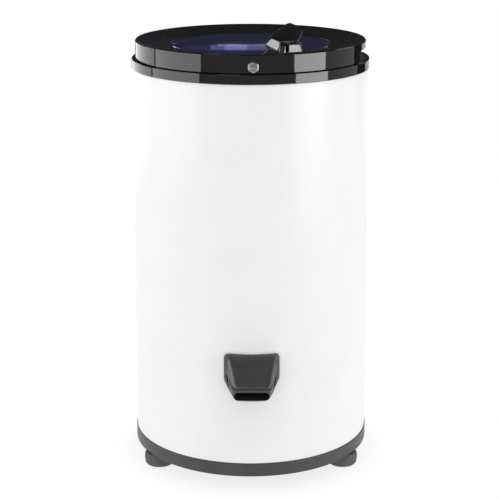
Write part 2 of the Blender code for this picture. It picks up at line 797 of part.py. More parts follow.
gland.rotation_euler = (-math.pi / 2, 0, 0)
finish(gland, BLACK, 0.5, 0.0)

# Rubber buffers and the motor carrier on them
BUFFER_LOW = BOSS_TOP + GAP
BUFFER_TOP = 0.0837
BUFFER_R = 0.0130
BUFFER_WAIST_R = 0.0105
BUFFER_CAP = 0.0100
BUFFER_MID = (BUFFER_LOW + BUFFER_TOP) / 2
for side, (buffer_x, buffer_y) in BUFFER_PLACES.items():
    buffer = turned(
        "buffer_" + side,
        [
            (0, BUFFER_LOW),
            (BUFFER_R, BUFFER_LOW),
            (BUFFER_R, BUFFER_LOW + BUFFER_CAP),
            (BUFFER_WAIST_R, BUFFER_MID),
            (BUFFER_R, BUFFER_TOP - BUFFER_CAP),
            (BUFFER_R, BUFFER_TOP),
            (0, BUFFER_TOP),
        ],
        SMALL,
    )
    buffer.location = (buffer_x, buffer_y, 0)
    finish(buffer, RUBBER, 0.75, 0.0)
CARRIER_LOW = BUFFER_TOP + GAP
CARRIER_TOP = 0.0880
CARRIER_R = 0.0700
CARRIER_ARM_R = 0.1000
CARRIER_ARM_HALF = 0.0170
CARRIER_HOLE_R = 0.0240
CARRIER_ARM_TURN = math.degrees(math.asin(CARRIER_ARM_HALF / CARRIER_R))
CARRIER_TIP_TURN = math.degrees(math.asin(CARRIER_ARM_HALF / CARRIER_ARM_R))
carrier_outline = []
for turn in sorted(FOOT_TURNS.values()):
    carrier_outline += arc((0, 0), CARRIER_ARM_R, turn - CARRIER_TIP_TURN, turn + CARRIER_TIP_TURN, 1)
    carrier_outline += arc((0, 0), CARRIER_R, turn + CARRIER_ARM_TURN, turn + 120 - CARRIER_ARM_TURN, 10)
carrier = prism("motor_carrier", carrier_outline, CARRIER_LOW, CARRIER_TOP, "Z")
cut(carrier, rod("carrier_hole", (0, 0), CARRIER_HOLE_R, CARRIER_LOW - OVER, CARRIER_TOP + OVER, "Z", MEDIUM))
finish(carrier, ZINC, 0.4, 1.0)

# Motor housing, bearings and windings
MOTOR_R = 0.0660
MOTOR_WALL = 0.0060
MOTOR_IN = MOTOR_R - MOTOR_WALL
CAP_LOW = CARRIER_TOP + GAP
CAP_DEPTH = 0.0100
CAP_TOP = CAP_LOW + CAP_DEPTH
MOTOR_LOW = CAP_TOP + GAP
MOTOR_TOP = 0.1600
UPPER_LOW = MOTOR_TOP + GAP
UPPER_TOP = UPPER_LOW + CAP_DEPTH
SEAT_R = 0.0143
SEAT_DEPTH = 0.0060
SEAT_FLOOR = CAP_TOP - SEAT_DEPTH
SEAT_ROOF = UPPER_LOW + SEAT_DEPTH
CAP_HOLE_R = 0.0083
BEARING_R = SEAT_R - GAP
BEARING_IN = SHAFT_R + GAP
STATOR_R = MOTOR_IN - GAP
STATOR_DEPTH = 0.0240
STATOR_IN = MOTOR_R - STATOR_DEPTH
STATOR_LOW = 0.1080
STATOR_TOP = 0.1460
COIL_IN_INSET = 0.0200
COIL_IN = MOTOR_R - COIL_IN_INSET
COIL_INSET = 0.0100
COIL_R = MOTOR_R - COIL_INSET
COIL_LOW = 0.1020
COIL_TOP = 0.1520
cap_lower = turned(
    "motor_cap_lower",
    [
        (0, CAP_LOW), (MOTOR_R, CAP_LOW), (MOTOR_R, CAP_TOP),
        (SEAT_R, CAP_TOP), (SEAT_R, SEAT_FLOOR), (0, SEAT_FLOOR),
    ],
    MEDIUM,
)
finish(cap_lower, ALLOY, 0.45, 1.0)
frame = ring("motor_frame", MOTOR_IN, MOTOR_R, MOTOR_LOW, MOTOR_TOP, MEDIUM)
finish(frame, ALLOY, 0.45, 1.0)
cap_upper = turned(
    "motor_cap_upper",
    [
        (SEAT_R, UPPER_LOW),
        (MOTOR_R, UPPER_LOW),
        (MOTOR_R, UPPER_TOP),
        (CAP_HOLE_R, UPPER_TOP),
        (CAP_HOLE_R, SEAT_ROOF),
        (SEAT_R, SEAT_ROOF),
    ],
    MEDIUM,
)
finish(cap_upper, ALLOY, 0.45, 1.0)
finish(ring("bearing_lower", BEARING_IN, BEARING_R, SEAT_FLOOR + GAP, CAP_TOP - GAP, FINE), STEEL, 0.25, 1.0)
finish(ring("bearing_upper", BEARING_IN, BEARING_R, UPPER_LOW + GAP, SEAT_ROOF - GAP, FINE), STEEL, 0.25, 1.0)
stator = turned(
    "stator_core",
    [
        (STATOR_IN, STATOR_LOW),
        (COIL_IN, COIL_LOW),
        (COIL_R, COIL_LOW),
        (STATOR_R, STATOR_LOW),
        (STATOR_R, STATOR_TOP),
        (COIL_R, COIL_TOP),
        (COIL_IN, COIL_TOP),
        (STATOR_IN, STATOR_TOP),
    ],
    MEDIUM,
)
finish(stator, COPPER, 0.5, 0.8)

# Turning parts: shaft, rotor, fan and brake drum
SPIN = empty("spin_axis", DRYER, (0, 0, TUB_LOW))
SHAFT_LOW = SEAT_FLOOR + GAP + GAP
COLLET_LOW = 0.1720
SHOULDER_LOW = 0.2160
SHOULDER_R = 0.0180
DRUM_LOW = 0.2220
SHAFT_TOP = 0.2720
shaft = turned(
    "shaft",
    [
        (0, SHAFT_LOW),
        (SHAFT_R, SHAFT_LOW),
        (SHAFT_R, COLLET_LOW),
        (COLLET_R, COLLET_LOW),
        (COLLET_R, SHOULDER_LOW),
        (SHOULDER_R, SHOULDER_LOW),
        (SHOULDER_R, DRUM_LOW - GAP),
        (SHAFT_R, DRUM_LOW - GAP),
        (SHAFT_R, SHAFT_TOP),
        (0, SHAFT_TOP),
    ],
    FINE,
)
finish(shaft, STEEL, 0.25, 1.0, SPIN)
ROTOR_GAP = 0.0005
ROTOR_R = STATOR_IN - ROTOR_GAP
core = ring("rotor_core", BEARING_IN, ROTOR_R, STATOR_LOW, STATOR_TOP, FINE)
finish(core, ZINC, 0.4, 1.0, SPIN)
FAN_LOW = 0.1530
FAN_TOP = 0.1590
FAN_HUB_R = 0.0110
FAN_INSET = 0.0280
FAN_R = MOTOR_R - FAN_INSET
BLADE_START = 0.0095
BLADE_HALF = 0.0010
BLADE_INSET = 0.0008
BLADES = 6
fan = ring("cooling_fan", BEARING_IN, FAN_HUB_R, FAN_LOW, FAN_TOP, FINE)
blades = bmesh.new()
for i in range(BLADES):
    turn = Matrix.Rotation(math.tau * i / BLADES, 3, "Z")
    near, far = -BLADE_HALF, BLADE_HALF
    corners = [(BLADE_START, near), (FAN_R, near), (FAN_R, far), (BLADE_START, far)]
    outline = [tuple((turn @ Vector((x, y, 0))).xy) for x, y in corners]
    add_prism(blades, outline, FAN_LOW + BLADE_INSET, FAN_TOP - BLADE_INSET, "Z")
join(fan, mesh_object("fan_blades", blades))
finish(fan, BLACK, 0.5, 0.0, SPIN)
BRAKE_R = 0.0420
BRAKE_IN = 0.0380
BRAKE_LOW = 0.1740
BRAKE_WEB = 0.1860
BRAKE_TOP = 0.1900
brake_drum = turned(
    "brake_drum",
    [
        (SEAL_IN, BRAKE_WEB),
        (BRAKE_IN, BRAKE_WEB),
        (BRAKE_IN, BRAKE_LOW),
        (BRAKE_R, BRAKE_LOW),
        (BRAKE_R, BRAKE_TOP),
        (SEAL_IN, BRAKE_TOP),
    ],
    MEDIUM,
)
finish(brake_drum, ZINC, 0.35, 1.0, SPIN)

# Drum with its holes, hub, nut and balance ring
DRUM_R_INSET = 0.0544
DRUM_R = BODY_R - DRUM_R_INSET
DRUM_WALL = 0.0014
DRUM_FOOT_R_INSET = 0.0624
DRUM_FOOT_R = BODY_R - DRUM_FOOT_R_INSET
DRUM_FOOT_Z = 0.2300
DRUM_SHOULDER_Z = 0.5280
DRUM_NECK_R_INSET = 0.0574
DRUM_NECK_R = BODY_R - DRUM_NECK_R_INSET
DRUM_NECK_Z = 0.5360
DRUM_MOUTH_R_INSET = 0.0704
DRUM_MOUTH_R = BODY_R - DRUM_MOUTH_R_INSET
DRUM_TOP = 0.5400
drum = turned(
    "drum",
    [
        (BEARING_IN, DRUM_LOW),
        (DRUM_FOOT_R, DRUM_LOW),
        (DRUM_R, DRUM_FOOT_Z),
        (DRUM_R, DRUM_SHOULDER_Z),
        (DRUM_NECK_R, DRUM_NECK_Z),
        (DRUM_MOUTH_R, DRUM_TOP),
        (DRUM_MOUTH_R, DRUM_TOP - DRUM_WALL),
        (DRUM_NECK_R - DRUM_WALL, DRUM_NECK_Z - DRUM_WALL),
        (DRUM_R - DRUM_WALL, DRUM_SHOULDER_Z),
        (DRUM_R - DRUM_WALL, DRUM_FOOT_Z + GAP),
        (DRUM_FOOT_R, DRUM_LOW + DRUM_WALL),
        (BEARING_IN, DRUM_LOW + DRUM_WALL),
    ],
    INNER,
)
HOLE_R = 0.0030
HOLE_ROWS = 5
HOLES_AROUND = 12
HOLE_FIRST_Z = 0.2620
HOLE_PITCH = 0.0560
HOLE_START_INSET = 0.0604
HOLE_START = BODY_R - HOLE_START_INSET
HOLE_END_INSET = 0.0504
HOLE_END = BODY_R - HOLE_END_INSET
holes = bmesh.new()
for row in range(HOLE_ROWS):
    for i in range(HOLES_AROUND):
        turn = Matrix.Rotation(math.tau * (i + row / 2 + 1 / 6) / HOLES_AROUND, 4, "Z")
        before = len(holes.verts)
        hole = circle((0, HOLE_FIRST_Z + HOLE_PITCH * row), HOLE_R, TINY)
        add_prism(holes, hole, HOLE_START, HOLE_END, "X")
        holes.verts.ensure_lookup_table()
        for vert in holes.verts[before:]:
            vert.co = turn @ vert.co
cut(drum, mesh_object("drum_holes", holes))
finish(drum, STEEL, 0.3, 1.0, SPIN)
HUB_LOW = DRUM_LOW + DRUM_WALL + GAP
HUB_R = 0.0460
HUB_EDGE_Z = 0.2262
HUB_NECK_R = 0.0160
HUB_NECK_Z = 0.2580
HUB_TOP_R = 0.0100
HUB_TOP = 0.2620
hub = turned(
    "drum_hub",
    [
        (BEARING_IN, HUB_LOW),
        (HUB_R, HUB_LOW),
        (HUB_R, HUB_EDGE_Z),
        (HUB_NECK_R, HUB_NECK_Z),
        (HUB_TOP_R, HUB_TOP),
        (BEARING_IN, HUB_TOP),
    ],
    FINE,
)
finish(hub, GREY, 0.45, 0.0, SPIN)
NUT_R = 0.0110
NUT_TOP = 0.2700
nut = rod("drum_nut", (0, 0), NUT_R, HUB_TOP + GAP, NUT_TOP, "Z", 6)
cut(nut, rod("nut_hole", (0, 0), BEARING_IN, HUB_TOP - OVER, NUT_TOP + OVER, "Z", FINE))
finish(nut, ZINC, 0.3, 1.0, SPIN)
BALANCE_IN_INSET = 0.0694
BALANCE_IN = BODY_R - BALANCE_IN_INSET
BALANCE_LOW = 0.5406
BALANCE_R_INSET = 0.0559
BALANCE_R = BODY_R - BALANCE_R_INSET
BALANCE_SKIRT_R_INSET = 0.0579
BALANCE_SKIRT_R = BODY_R - BALANCE_SKIRT_R_INSET
BALANCE_SKIRT_Z = 0.5372
BALANCE_SIDE_Z = 0.5410
BALANCE_TOP = 0.5455
balance = turned(
    "balance_ring",
    [
        (BALANCE_IN, BALANCE_LOW),
        (BALANCE_SKIRT_R, BALANCE_SKIRT_Z),
        (BALANCE_R, BALANCE_SIDE_Z),
        (BALANCE_SKIRT_R, BALANCE_TOP),
        (BALANCE_IN, BALANCE_TOP),
    ],
    INNER,
)
finish(balance, GREY, 0.4, 0.0, SPIN)

# Brake bracket, pin, spring, arm and lining
BRAKE_X = 0.0510
BRAKE_Y = -0.0340
BRACKET_HALF = 0.0060
BRACKET_LOW = UPPER_TOP + GAP
BRACKET_TOP = 0.1736
POST_R = 0.0050
ARM_LOW = 0.1780
ARM_TOP = 0.1860
PIN_R = 0.0025
PIN_LOW = 0.1710
PIN_HEAD_LOW = 0.1950
PIN_TOP = 0.1970
PIN_HEAD_R = 0.0045
PIN_HOLE_R = PIN_R + GAP
bracket = block(
    "brake_bracket",
    (BRAKE_X - BRACKET_HALF, BRAKE_Y - BRACKET_HALF, BRACKET_LOW),
    (BRAKE_X + BRACKET_HALF, BRAKE_Y + BRACKET_HALF, BRACKET_TOP),
)
join(bracket, rod("bracket_post", (BRAKE_X, BRAKE_Y), POST_R, BRACKET_TOP - BOSS_SINK, ARM_LOW - GAP, "Z"))
cut(bracket, rod("bracket_hole", (BRAKE_X, BRAKE_Y), PIN_HOLE_R, BRACKET_LOW - OVER, ARM_LOW + OVER, "Z"))
finish(bracket, ZINC, 0.4, 1.0)
pin = turned(
    "brake_pivot_pin",
    [
        (0, PIN_LOW), (PIN_R, PIN_LOW), (PIN_R, PIN_HEAD_LOW),
        (PIN_HEAD_R, PIN_HEAD_LOW), (PIN_HEAD_R, PIN_TOP), (0, PIN_TOP),
    ],
    SMALL,
)
pin.location = (BRAKE_X, BRAKE_Y, 0)
finish(pin, STEEL, 0.3, 1.0)
SPRING_R = 0.0040
SPRING_WIRE = 0.00045
SPRING_LOW = 0.1872
SPRING_RISE = 0.0062
SPRING_TURNS = 3
SPRING_STEPS = 10
spring_data = bpy.data.curves.new("brake_spring", "CURVE")
spring_data.dimensions = "3D"
spring_data.bevel_depth = SPRING_WIRE
spring_data.bevel_resolution = 1
spring_data.use_fill_caps = True
coil = spring_data.splines.new("POLY")
coil.points.add(SPRING_TURNS * SPRING_STEPS)
for i, slot in enumerate(coil.points):
    share = i / (SPRING_TURNS * SPRING_STEPS)
    turn = math.tau * SPRING_TURNS * share
    coil_x = BRAKE_X + SPRING_R * math.cos(turn)
    coil_y = BRAKE_Y + SPRING_R * math.sin(turn)
    slot.co = (coil_x, coil_y, SPRING_LOW + SPRING_RISE * share, 1)
spring = linked("brake_spring", spring_data)
finish(spring, STEEL, 0.35, 1.0)
BRAKE_AXIS = empty("brake_axis", DRYER, (BRAKE_X, BRAKE_Y, ARM_LOW))
BRAKE_ARM_HALF = 0.0030
BRAKE_EYE_R = 0.0055
BRAKE_TIP_Y = 0.0440
BRAKE_EYE_TURN = math.degrees(math.acos(BRAKE_ARM_HALF / BRAKE_EYE_R))
brake_arm = prism(
    "brake_arm",
    arc((BRAKE_X, BRAKE_Y), BRAKE_EYE_R, 180 - BRAKE_EYE_TURN, 360 + BRAKE_EYE_TURN, 12)
    + [(BRAKE_X + BRAKE_ARM_HALF, BRAKE_TIP_Y), (BRAKE_X - BRAKE_ARM_HALF, BRAKE_TIP_Y)],
    ARM_LOW,
    ARM_TOP,
    "Z",
)
cut(brake_arm, rod("arm_hole", (BRAKE_X, BRAKE_Y), PIN_HOLE_R, ARM_LOW - OVER, ARM_TOP + OVER, "Z"))
finish(brake_arm, ZINC, 0.4, 1.0, BRAKE_AXIS)
LINING_HALF = 0.0090
LINING_INSET = 0.0005
LINING_BACK = BRAKE_X - BRAKE_ARM_HALF - GAP
LINING_FACE = BRAKE_R + GAP
LINING_TURN = math.degrees(math.asin(LINING_HALF / LINING_FACE))
lining = prism(
    "brake_lining",
    arc((0, 0), LINING_FACE, LINING_TURN, -LINING_TURN, 6)
    + [(LINING_BACK, -LINING_HALF), (LINING_BACK, LINING_HALF)],
    ARM_LOW + LINING_INSET,
    ARM_TOP - LINING_INSET,
    "Z",
)
finish(lining, DARK, 0.9, 0.0, BRAKE_AXIS)

# Hinge bracket and pin
KNUCKLE_R = 0.0036
HINGE_PIN_R = 0.0015
HINGE_PIN_HALF = 0.0146
HINGE_FOOT_RIGHT_INSET = 0.0204
HINGE_FOOT_RIGHT = HINGE_FOOT_RIGHT_INSET - BODY_R
HINGE_FOOT_HALF = 0.0120
HINGE_FOOT_LOW = 0.5844
hinge = rod("hinge_bracket", (HINGE_X, HINGE_Z), KNUCKLE_R, -STEM_HALF, STEM_HALF, "Y")
join(
    hinge,
    block(
        "hinge_stem",
        (STEM_LEFT, -STEM_HALF + WELD + WELD, HINGE_FOOT_LOW + BOSS_SINK),
        (STEM_RIGHT, STEM_HALF - WELD - WELD, HINGE_Z),
    ),
)
join(
    hinge,
    block(
        "hinge_foot",
        (STEM_LEFT, -HINGE_FOOT_HALF, HINGE_FOOT_LOW),
        (HINGE_FOOT_RIGHT, HINGE_FOOT_HALF, PLATE_LOW - GAP),
    ),
)
stem_cut = STEM_HALF + OVER
cut(hinge, rod("knuckle_hole", (HINGE_X, HINGE_Z), HINGE_PIN_R + GAP, -stem_cut, stem_cut, "Y"))
finish(hinge, BLACK, 0.4, 0.0)
hinge_pin = rod("hinge_pin", (HINGE_X, HINGE_Z), HINGE_PIN_R, -HINGE_PIN_HALF, HINGE_PIN_HALF, "Y")
finish(hinge_pin, STEEL, 0.25, 1.0)

# Keeper that the hook catches
KEEPER_R = 0.0020
KEEPER_Z = 0.5861
KEEPER_FRONT_INSET = 0.0069
KEEPER_FRONT = KEEPER_FRONT_INSET - BODY_R
KEEPER_BACK_INSET = 0.0211
KEEPER_BACK = KEEPER_BACK_INSET - BODY_R
CRADLE_LEFT = -0.0040
CRADLE_RIGHT = 0.0120
CRADLE_LOW = 0.5730
CRADLE_FLOOR = 0.5765
CRADLE_FRONT_INSET = 0.0066
CRADLE_FRONT = CRADLE_FRONT_INSET - BODY_R
CRADLE_FRONT_IN_INSET = 0.0091
CRADLE_FRONT_IN = CRADLE_FRONT_IN_INSET - BODY_R
CRADLE_BACK_IN_INSET = 0.0191
CRADLE_BACK_IN = CRADLE_BACK_IN_INSET - BODY_R
CRADLE_BACK_INSET = 0.0215
CRADLE_BACK = CRADLE_BACK_INSET - BODY_R
cradle = prism(
    "keeper_bracket",
    [
        (CRADLE_FRONT, CRADLE_LOW),
        (CRADLE_BACK, CRADLE_LOW),
        (CRADLE_BACK, FUNNEL_TOP),
        (CRADLE_BACK_IN, FUNNEL_TOP),
        (CRADLE_BACK_IN, CRADLE_FLOOR),
        (CRADLE_FRONT_IN, CRADLE_FLOOR),
        (CRADLE_FRONT_IN, FUNNEL_TOP),
        (CRADLE_FRONT, FUNNEL_TOP),
    ],
    CRADLE_LEFT,
    CRADLE_RIGHT,
    "X",
)
cradle_cut = (CRADLE_FRONT - OVER, CRADLE_BACK + OVER)
cut(cradle, rod("keeper_holes", (LATCH_X, KEEPER_Z), KEEPER_R + GAP, *cradle_cut, "Y"))
finish(cradle, ZINC, 0.4, 1.0)
keeper = rod("keeper_bar", (LATCH_X, KEEPER_Z), KEEPER_R, KEEPER_FRONT, KEEPER_BACK, "Y")
finish(keeper, STEEL, 0.25, 1.0)

# Interlock switch, its plunger, the brake cable and the leads
SWITCH_LEFT = 0.0160
SWITCH_RIGHT = 0.0340
SWITCH_FRONT_INSET = 0.0104
SWITCH_FRONT = SWITCH_FRONT_INSET - BODY_R
SWITCH_BACK_INSET = 0.0204
SWITCH_BACK = SWITCH_BACK_INSET - BODY_R
PLUNGER_Y_INSET = 0.0144
PLUNGER_Y = PLUNGER_Y_INSET - BODY_R
PLUNGER_Z = 0.5805
PLUNGER_R = 0.0018
PLUNGER_TIP = 0.0059
PLUNGER_END = 0.0240
BORE_END = 0.0290
switch_near = (SWITCH_LEFT, SWITCH_FRONT, CRADLE_LOW)
switch_far = (SWITCH_RIGHT, SWITCH_BACK, FUNNEL_TOP)
switch = block("interlock_switch", switch_near, switch_far)
cut(switch, rod("plunger_bore", (PLUNGER_Y, PLUNGER_Z), PLUNGER_R + GAP, SWITCH_LEFT - OVER, BORE_END, "X"))
finish(switch, BLACK, 0.5, 0.0)
PLUNGER_AXIS = empty("plunger_axis", DRYER, (PLUNGER_TIP, PLUNGER_Y, PLUNGER_Z))
plunger = rod("plunger", (PLUNGER_Y, PLUNGER_Z), PLUNGER_R, PLUNGER_TIP, PLUNGER_END, "X")
finish(plunger, RED, 0.4, 0.0, PLUNGER_AXIS)
CABLE_R = 0.0025
CABLE_X = 0.0285
CABLE_Y_INSET = 0.0129
CABLE_Y = CABLE_Y_INSET - BODY_R
CABLE_TOP = CRADLE_LOW - GAP
CABLE_MID_Z = 0.3800
CABLE_LOW_Z = 0.2150
CABLE_BEND_INSET = 0.0139
CABLE_BEND = (0.0300, CABLE_BEND_INSET - BODY_R, 0.1970)
CABLE_SLANT_INSET = 0.0254
CABLE_SLANT = (0.0470, CABLE_SLANT_INSET - BODY_R, 0.1900)
CABLE_RIGHT = (0.1050, -0.0900, 0.1860)
CABLE_BACK = (0.1180, 0.0300, 0.1820)
CABLE_NEAR = (0.0900, 0.0420, 0.1820)
CABLE_END = (0.0670, 0.0420, 0.1820)
cable = cord(
    "brake_cable",
    [
        (CABLE_X, CABLE_Y, CABLE_TOP),
        (CABLE_X, CABLE_Y, CABLE_MID_Z),
        (CABLE_X, CABLE_Y, CABLE_LOW_Z),
        CABLE_BEND,
        CABLE_SLANT,
        CABLE_RIGHT,
        CABLE_BACK,
        CABLE_NEAR,
        CABLE_END,
    ],
    CABLE_R,
)
finish(cable, BLACK, 0.5, 0.0)
LEAD_R = 0.0015
LEAD_X = 0.0228
LEAD_Y_INSET = 0.0134
LEAD_Y = LEAD_Y_INSET - BODY_R
LEAD_LOW_Z = 0.2300
LEAD_TURN = (0.0240, LEAD_Y, 0.1600)
LEAD_SLANT_INSET = 0.0254
LEAD_SLANT = (0.0600, LEAD_SLANT_INSET - BODY_R, 0.1100)
LEAD_RIGHT = (0.1050, -0.0600, 0.0500)
LEAD_NEAR = (0.1050, -0.0250, 0.0380)
LEAD_END = (0.1050, -0.0103, 0.0380)
lead = cord(
    "switch_lead",
    [
        (LEAD_X, LEAD_Y, CABLE_TOP), (LEAD_X, LEAD_Y, CABLE_MID_Z), (LEAD_X, LEAD_Y, LEAD_LOW_Z),
        LEAD_TURN, LEAD_SLANT, LEAD_RIGHT, LEAD_NEAR, LEAD_END,
    ],
    LEAD_R,
)
finish(lead, GREY, 0.6, 0.0)
TERMINAL_LOW = FLOOR_TOP + GAP
TERMINAL_TOP = 0.0480
TERMINAL_LEFT = 0.0900
TERMINAL_RIGHT = 0.1200
TERMINAL_FRONT = -0.0100
TERMINAL_BACK = 0.0300
terminal_near = (TERMINAL_LEFT, TERMINAL_FRONT, TERMINAL_LOW)
terminal_far = (TERMINAL_RIGHT, TERMINAL_BACK, TERMINAL_TOP)
terminal = block("terminal_block", terminal_near, terminal_far)
finish(terminal, CREAM, 0.5, 0.0)
MAINS_R = 0.0030
MAINS_START = (0, GLAND_IN_START - GAP, GLAND_Z)
MAINS_IN_INSET = 0.0284
MAINS_IN = (0, BODY_R - MAINS_IN_INSET, GLAND_Z)
MAINS_SIDE_INSET = 0.0404
MAINS_SIDE = (0.0500, BODY_R - MAINS_SIDE_INSET, 0.0500)
MAINS_RIGHT = (0.1050, 0.0900, 0.0400)
MAINS_NEAR = (0.1050, 0.0500, 0.0380)
MAINS_END = (0.1050, 0.0303, 0.0380)
mains = cord("mains_lead", [MAINS_START, MAINS_IN, MAINS_SIDE, MAINS_RIGHT, MAINS_NEAR, MAINS_END], MAINS_R)
finish(mains, GREY, 0.6, 0.0)

# Motor capacitor and its clamp
CAPACITOR_X = -0.1100
CAPACITOR_Y = 0.0100
CAPACITOR_R = 0.0170
CAPACITOR_EDGE = 0.0012
CAPACITOR_TOP = 0.0880
CLAMP_IN = CAPACITOR_R + GAP
CLAMP_R = 0.0195
CLAMP_LOW = 0.0480
CLAMP_TOP = 0.0600
LEG_OUT = 0.0260
LEG_IN = 0.0182
LEG_HALF = 0.0040
LEG_TOP = 0.0585
capacitor = turned(
    "capacitor",
    [
        (0, TERMINAL_LOW),
        (CAPACITOR_R, TERMINAL_LOW),
        (CAPACITOR_R, CAPACITOR_TOP - CAPACITOR_EDGE),
        (CAPACITOR_R - CAPACITOR_EDGE, CAPACITOR_TOP),
        (0, CAPACITOR_TOP),
    ],
    FINE,
)
capacitor.location = (CAPACITOR_X, CAPACITOR_Y, 0)
finish(capacitor, ALLOY, 0.4, 1.0)
clamp = ring("capacitor_clamp", CLAMP_IN, CLAMP_R, CLAMP_LOW, CLAMP_TOP, FINE)
clamp.location = (CAPACITOR_X, CAPACITOR_Y, 0)
join(
    clamp,
    block(
        "clamp_leg",
        (CAPACITOR_X - LEG_OUT, CAPACITOR_Y - LEG_HALF, TERMINAL_LOW),
        (CAPACITOR_X - LEG_IN, CAPACITOR_Y + LEG_HALF, LEG_TOP),
    ),
)
finish(clamp, ZINC, 0.4, 1.0)

# Lid ring
LID_AXIS = empty("lid_axis", DRYER, (HINGE_X, 0, HINGE_Z))
LID_R_INSET = 0.0030
LID_R = BODY_R - LID_R_INSET
LID_LOW = 0.5924
LID_TOP = 0.6170
LID_FOOT_R_INSET = 0.0038
LID_FOOT_R = BODY_R - LID_FOOT_R_INSET
LID_FOOT_Z = 0.5932
LID_SIDE_Z = 0.6148
LID_CREST_R_INSET = 0.0036
LID_CREST_R = BODY_R - LID_CREST_R_INSET
LID_CREST_Z = 0.6164
LID_TOP_R_INSET = 0.0050
LID_TOP_R = BODY_R - LID_TOP_R_INSET
LID_RUN_R_INSET = 0.0519
LID_RUN_R = BODY_R - LID_RUN_R_INSET
LID_RUN_Z = 0.6102
LID_DROP_R_INSET = 0.0538
LID_DROP_R = BODY_R - LID_DROP_R_INSET
LID_DROP_Z = 0.6094
SEAT_GLASS_R_INSET = 0.0541
SEAT_GLASS_R = BODY_R - SEAT_GLASS_R_INSET
SEAT_GLASS_TOP = 0.6086
SEAT_GLASS_LOW = 0.6050
SEAT_LIP_R_INSET = 0.0624
SEAT_LIP_R = BODY_R - SEAT_LIP_R_INSET
SEAT_LIP_LOW = 0.6020
LID_UNDER_R_INSET = 0.0524
LID_UNDER_R = BODY_R - LID_UNDER_R_INSET
LID_IN_INSET = 0.0279
LID_IN = BODY_R - LID_IN_INSET
LID_UNDER_Z = 0.6060
GROOVE_IN_INSET = 0.0252
GROOVE_IN = BODY_R - GROOVE_IN_INSET
GROOVE_OUT_INSET = 0.0211
GROOVE_OUT = BODY_R - GROOVE_OUT_INSET
GROOVE_TOP = 0.5957
lid = turned(
    "lid_rim",
    [
        (LID_IN, LID_LOW),
        (GROOVE_IN, LID_LOW),
        (GROOVE_IN, GROOVE_TOP),
        (GROOVE_OUT, GROOVE_TOP),
        (GROOVE_OUT, LID_LOW),
        (LID_FOOT_R, LID_LOW),
        (LID_R, LID_FOOT_Z),
        (LID_R, LID_SIDE_Z),
        (LID_CREST_R, LID_CREST_Z),
        (LID_TOP_R, LID_TOP),
        (LID_RUN_R, LID_RUN_Z),
        (LID_DROP_R, LID_DROP_Z),
        (SEAT_GLASS_R, SEAT_GLASS_TOP),
        (SEAT_GLASS_R, SEAT_GLASS_LOW),
        (SEAT_LIP_R, SEAT_GLASS_LOW),
        (SEAT_LIP_R, SEAT_LIP_LOW),
        (LID_UNDER_R, SEAT_LIP_LOW),
        (LID_IN, LID_UNDER_Z),
    ],
    BIG,
)

# Finger recess at the right
RECESS_IN_INSET = 0.0170
RECESS_IN = BODY_R - RECESS_IN_INSET
RECESS_OUT_PROUD = 0.0056
RECESS_OUT = BODY_R + RECESS_OUT_PROUD
RECESS_TOP = 0.6065
RECESS_TURN = 16.0
recess_outline = arc((0, 0), RECESS_IN, RECESS_TURN, -RECESS_TURN, 8)
recess_outline += arc((0, 0), RECESS_OUT, -RECESS_TURN, RECESS_TURN, 4)
cut(lid, prism("finger_recess", recess_outline, LID_LOW - OVER, RECESS_TOP, "Z"))

# Pocket and slot for the latch, hole for its bolt
POCKET_FRONT_INSET = 0.0092
POCKET_FRONT = POCKET_FRONT_INSET - BODY_R
POCKET_BACK_INSET = 0.0194
POCKET_BACK = POCKET_BACK_INSET - BODY_R
POCKET_LEFT = -0.0186
POCKET_RIGHT = 0.0320
POCKET_TOP = 0.6092
SLOT_LEFT = -0.0152
SLOT_TOP = 0.6200
BOLT_R = 0.0040
BOLT_END_INSET = 0.0244
BOLT_END = BOLT_END_INSET - BODY_R
BOLT_START_PROUD = 0.0016
BOLT_START = -BODY_R - BOLT_START_PROUD
latch_room = prism(
    "latch_room",
    [
        (POCKET_LEFT, LID_LOW - OVER),
        (POCKET_RIGHT, LID_LOW - OVER),
        (POCKET_RIGHT, SLOT_TOP),
        (SLOT_LEFT, SLOT_TOP),
        (SLOT_LEFT, POCKET_TOP),
        (POCKET_LEFT, POCKET_TOP),
    ],
    POCKET_FRONT,
    POCKET_BACK,
    "Y",
)
cut(lid, latch_room)
cut(lid, rod("bolt_hole", (LATCH_X, LATCH_Z), BOLT_R + GAP, BOLT_START, BOLT_END + GAP, "Y"))

# Notch for the hinge and hole for its pin
NOTCH_OUT_PROUD = 0.0056
NOTCH_OUT = -BODY_R - NOTCH_OUT_PROUD
NOTCH_IN_INSET = 0.0122
NOTCH_IN = NOTCH_IN_INSET - BODY_R
NOTCH_RISE = 0.0016
NOTCH_HALF = STEM_HALF + GAP
notch_near = (NOTCH_OUT, -NOTCH_HALF, LID_LOW - OVER)
notch_far = (NOTCH_IN, NOTCH_HALF, HINGE_Z + NOTCH_RISE)
cut(lid, block("hinge_notch", notch_near, notch_far))
room_half = NOTCH_HALF - WELD
cut(lid, rod("knuckle_room", (HINGE_X, HINGE_Z), KNUCKLE_R + GAP, -room_half, room_half, "Y", MEDIUM))
PIN_ROOM_HALF = 0.0150
cut(lid, rod("hinge_pin_hole", (HINGE_X, HINGE_Z), HINGE_PIN_R + GAP, -PIN_ROOM_HALF, PIN_ROOM_HALF, "Y"))
finish(lid, BLACK, 0.12, 0.0, LID_AXIS)

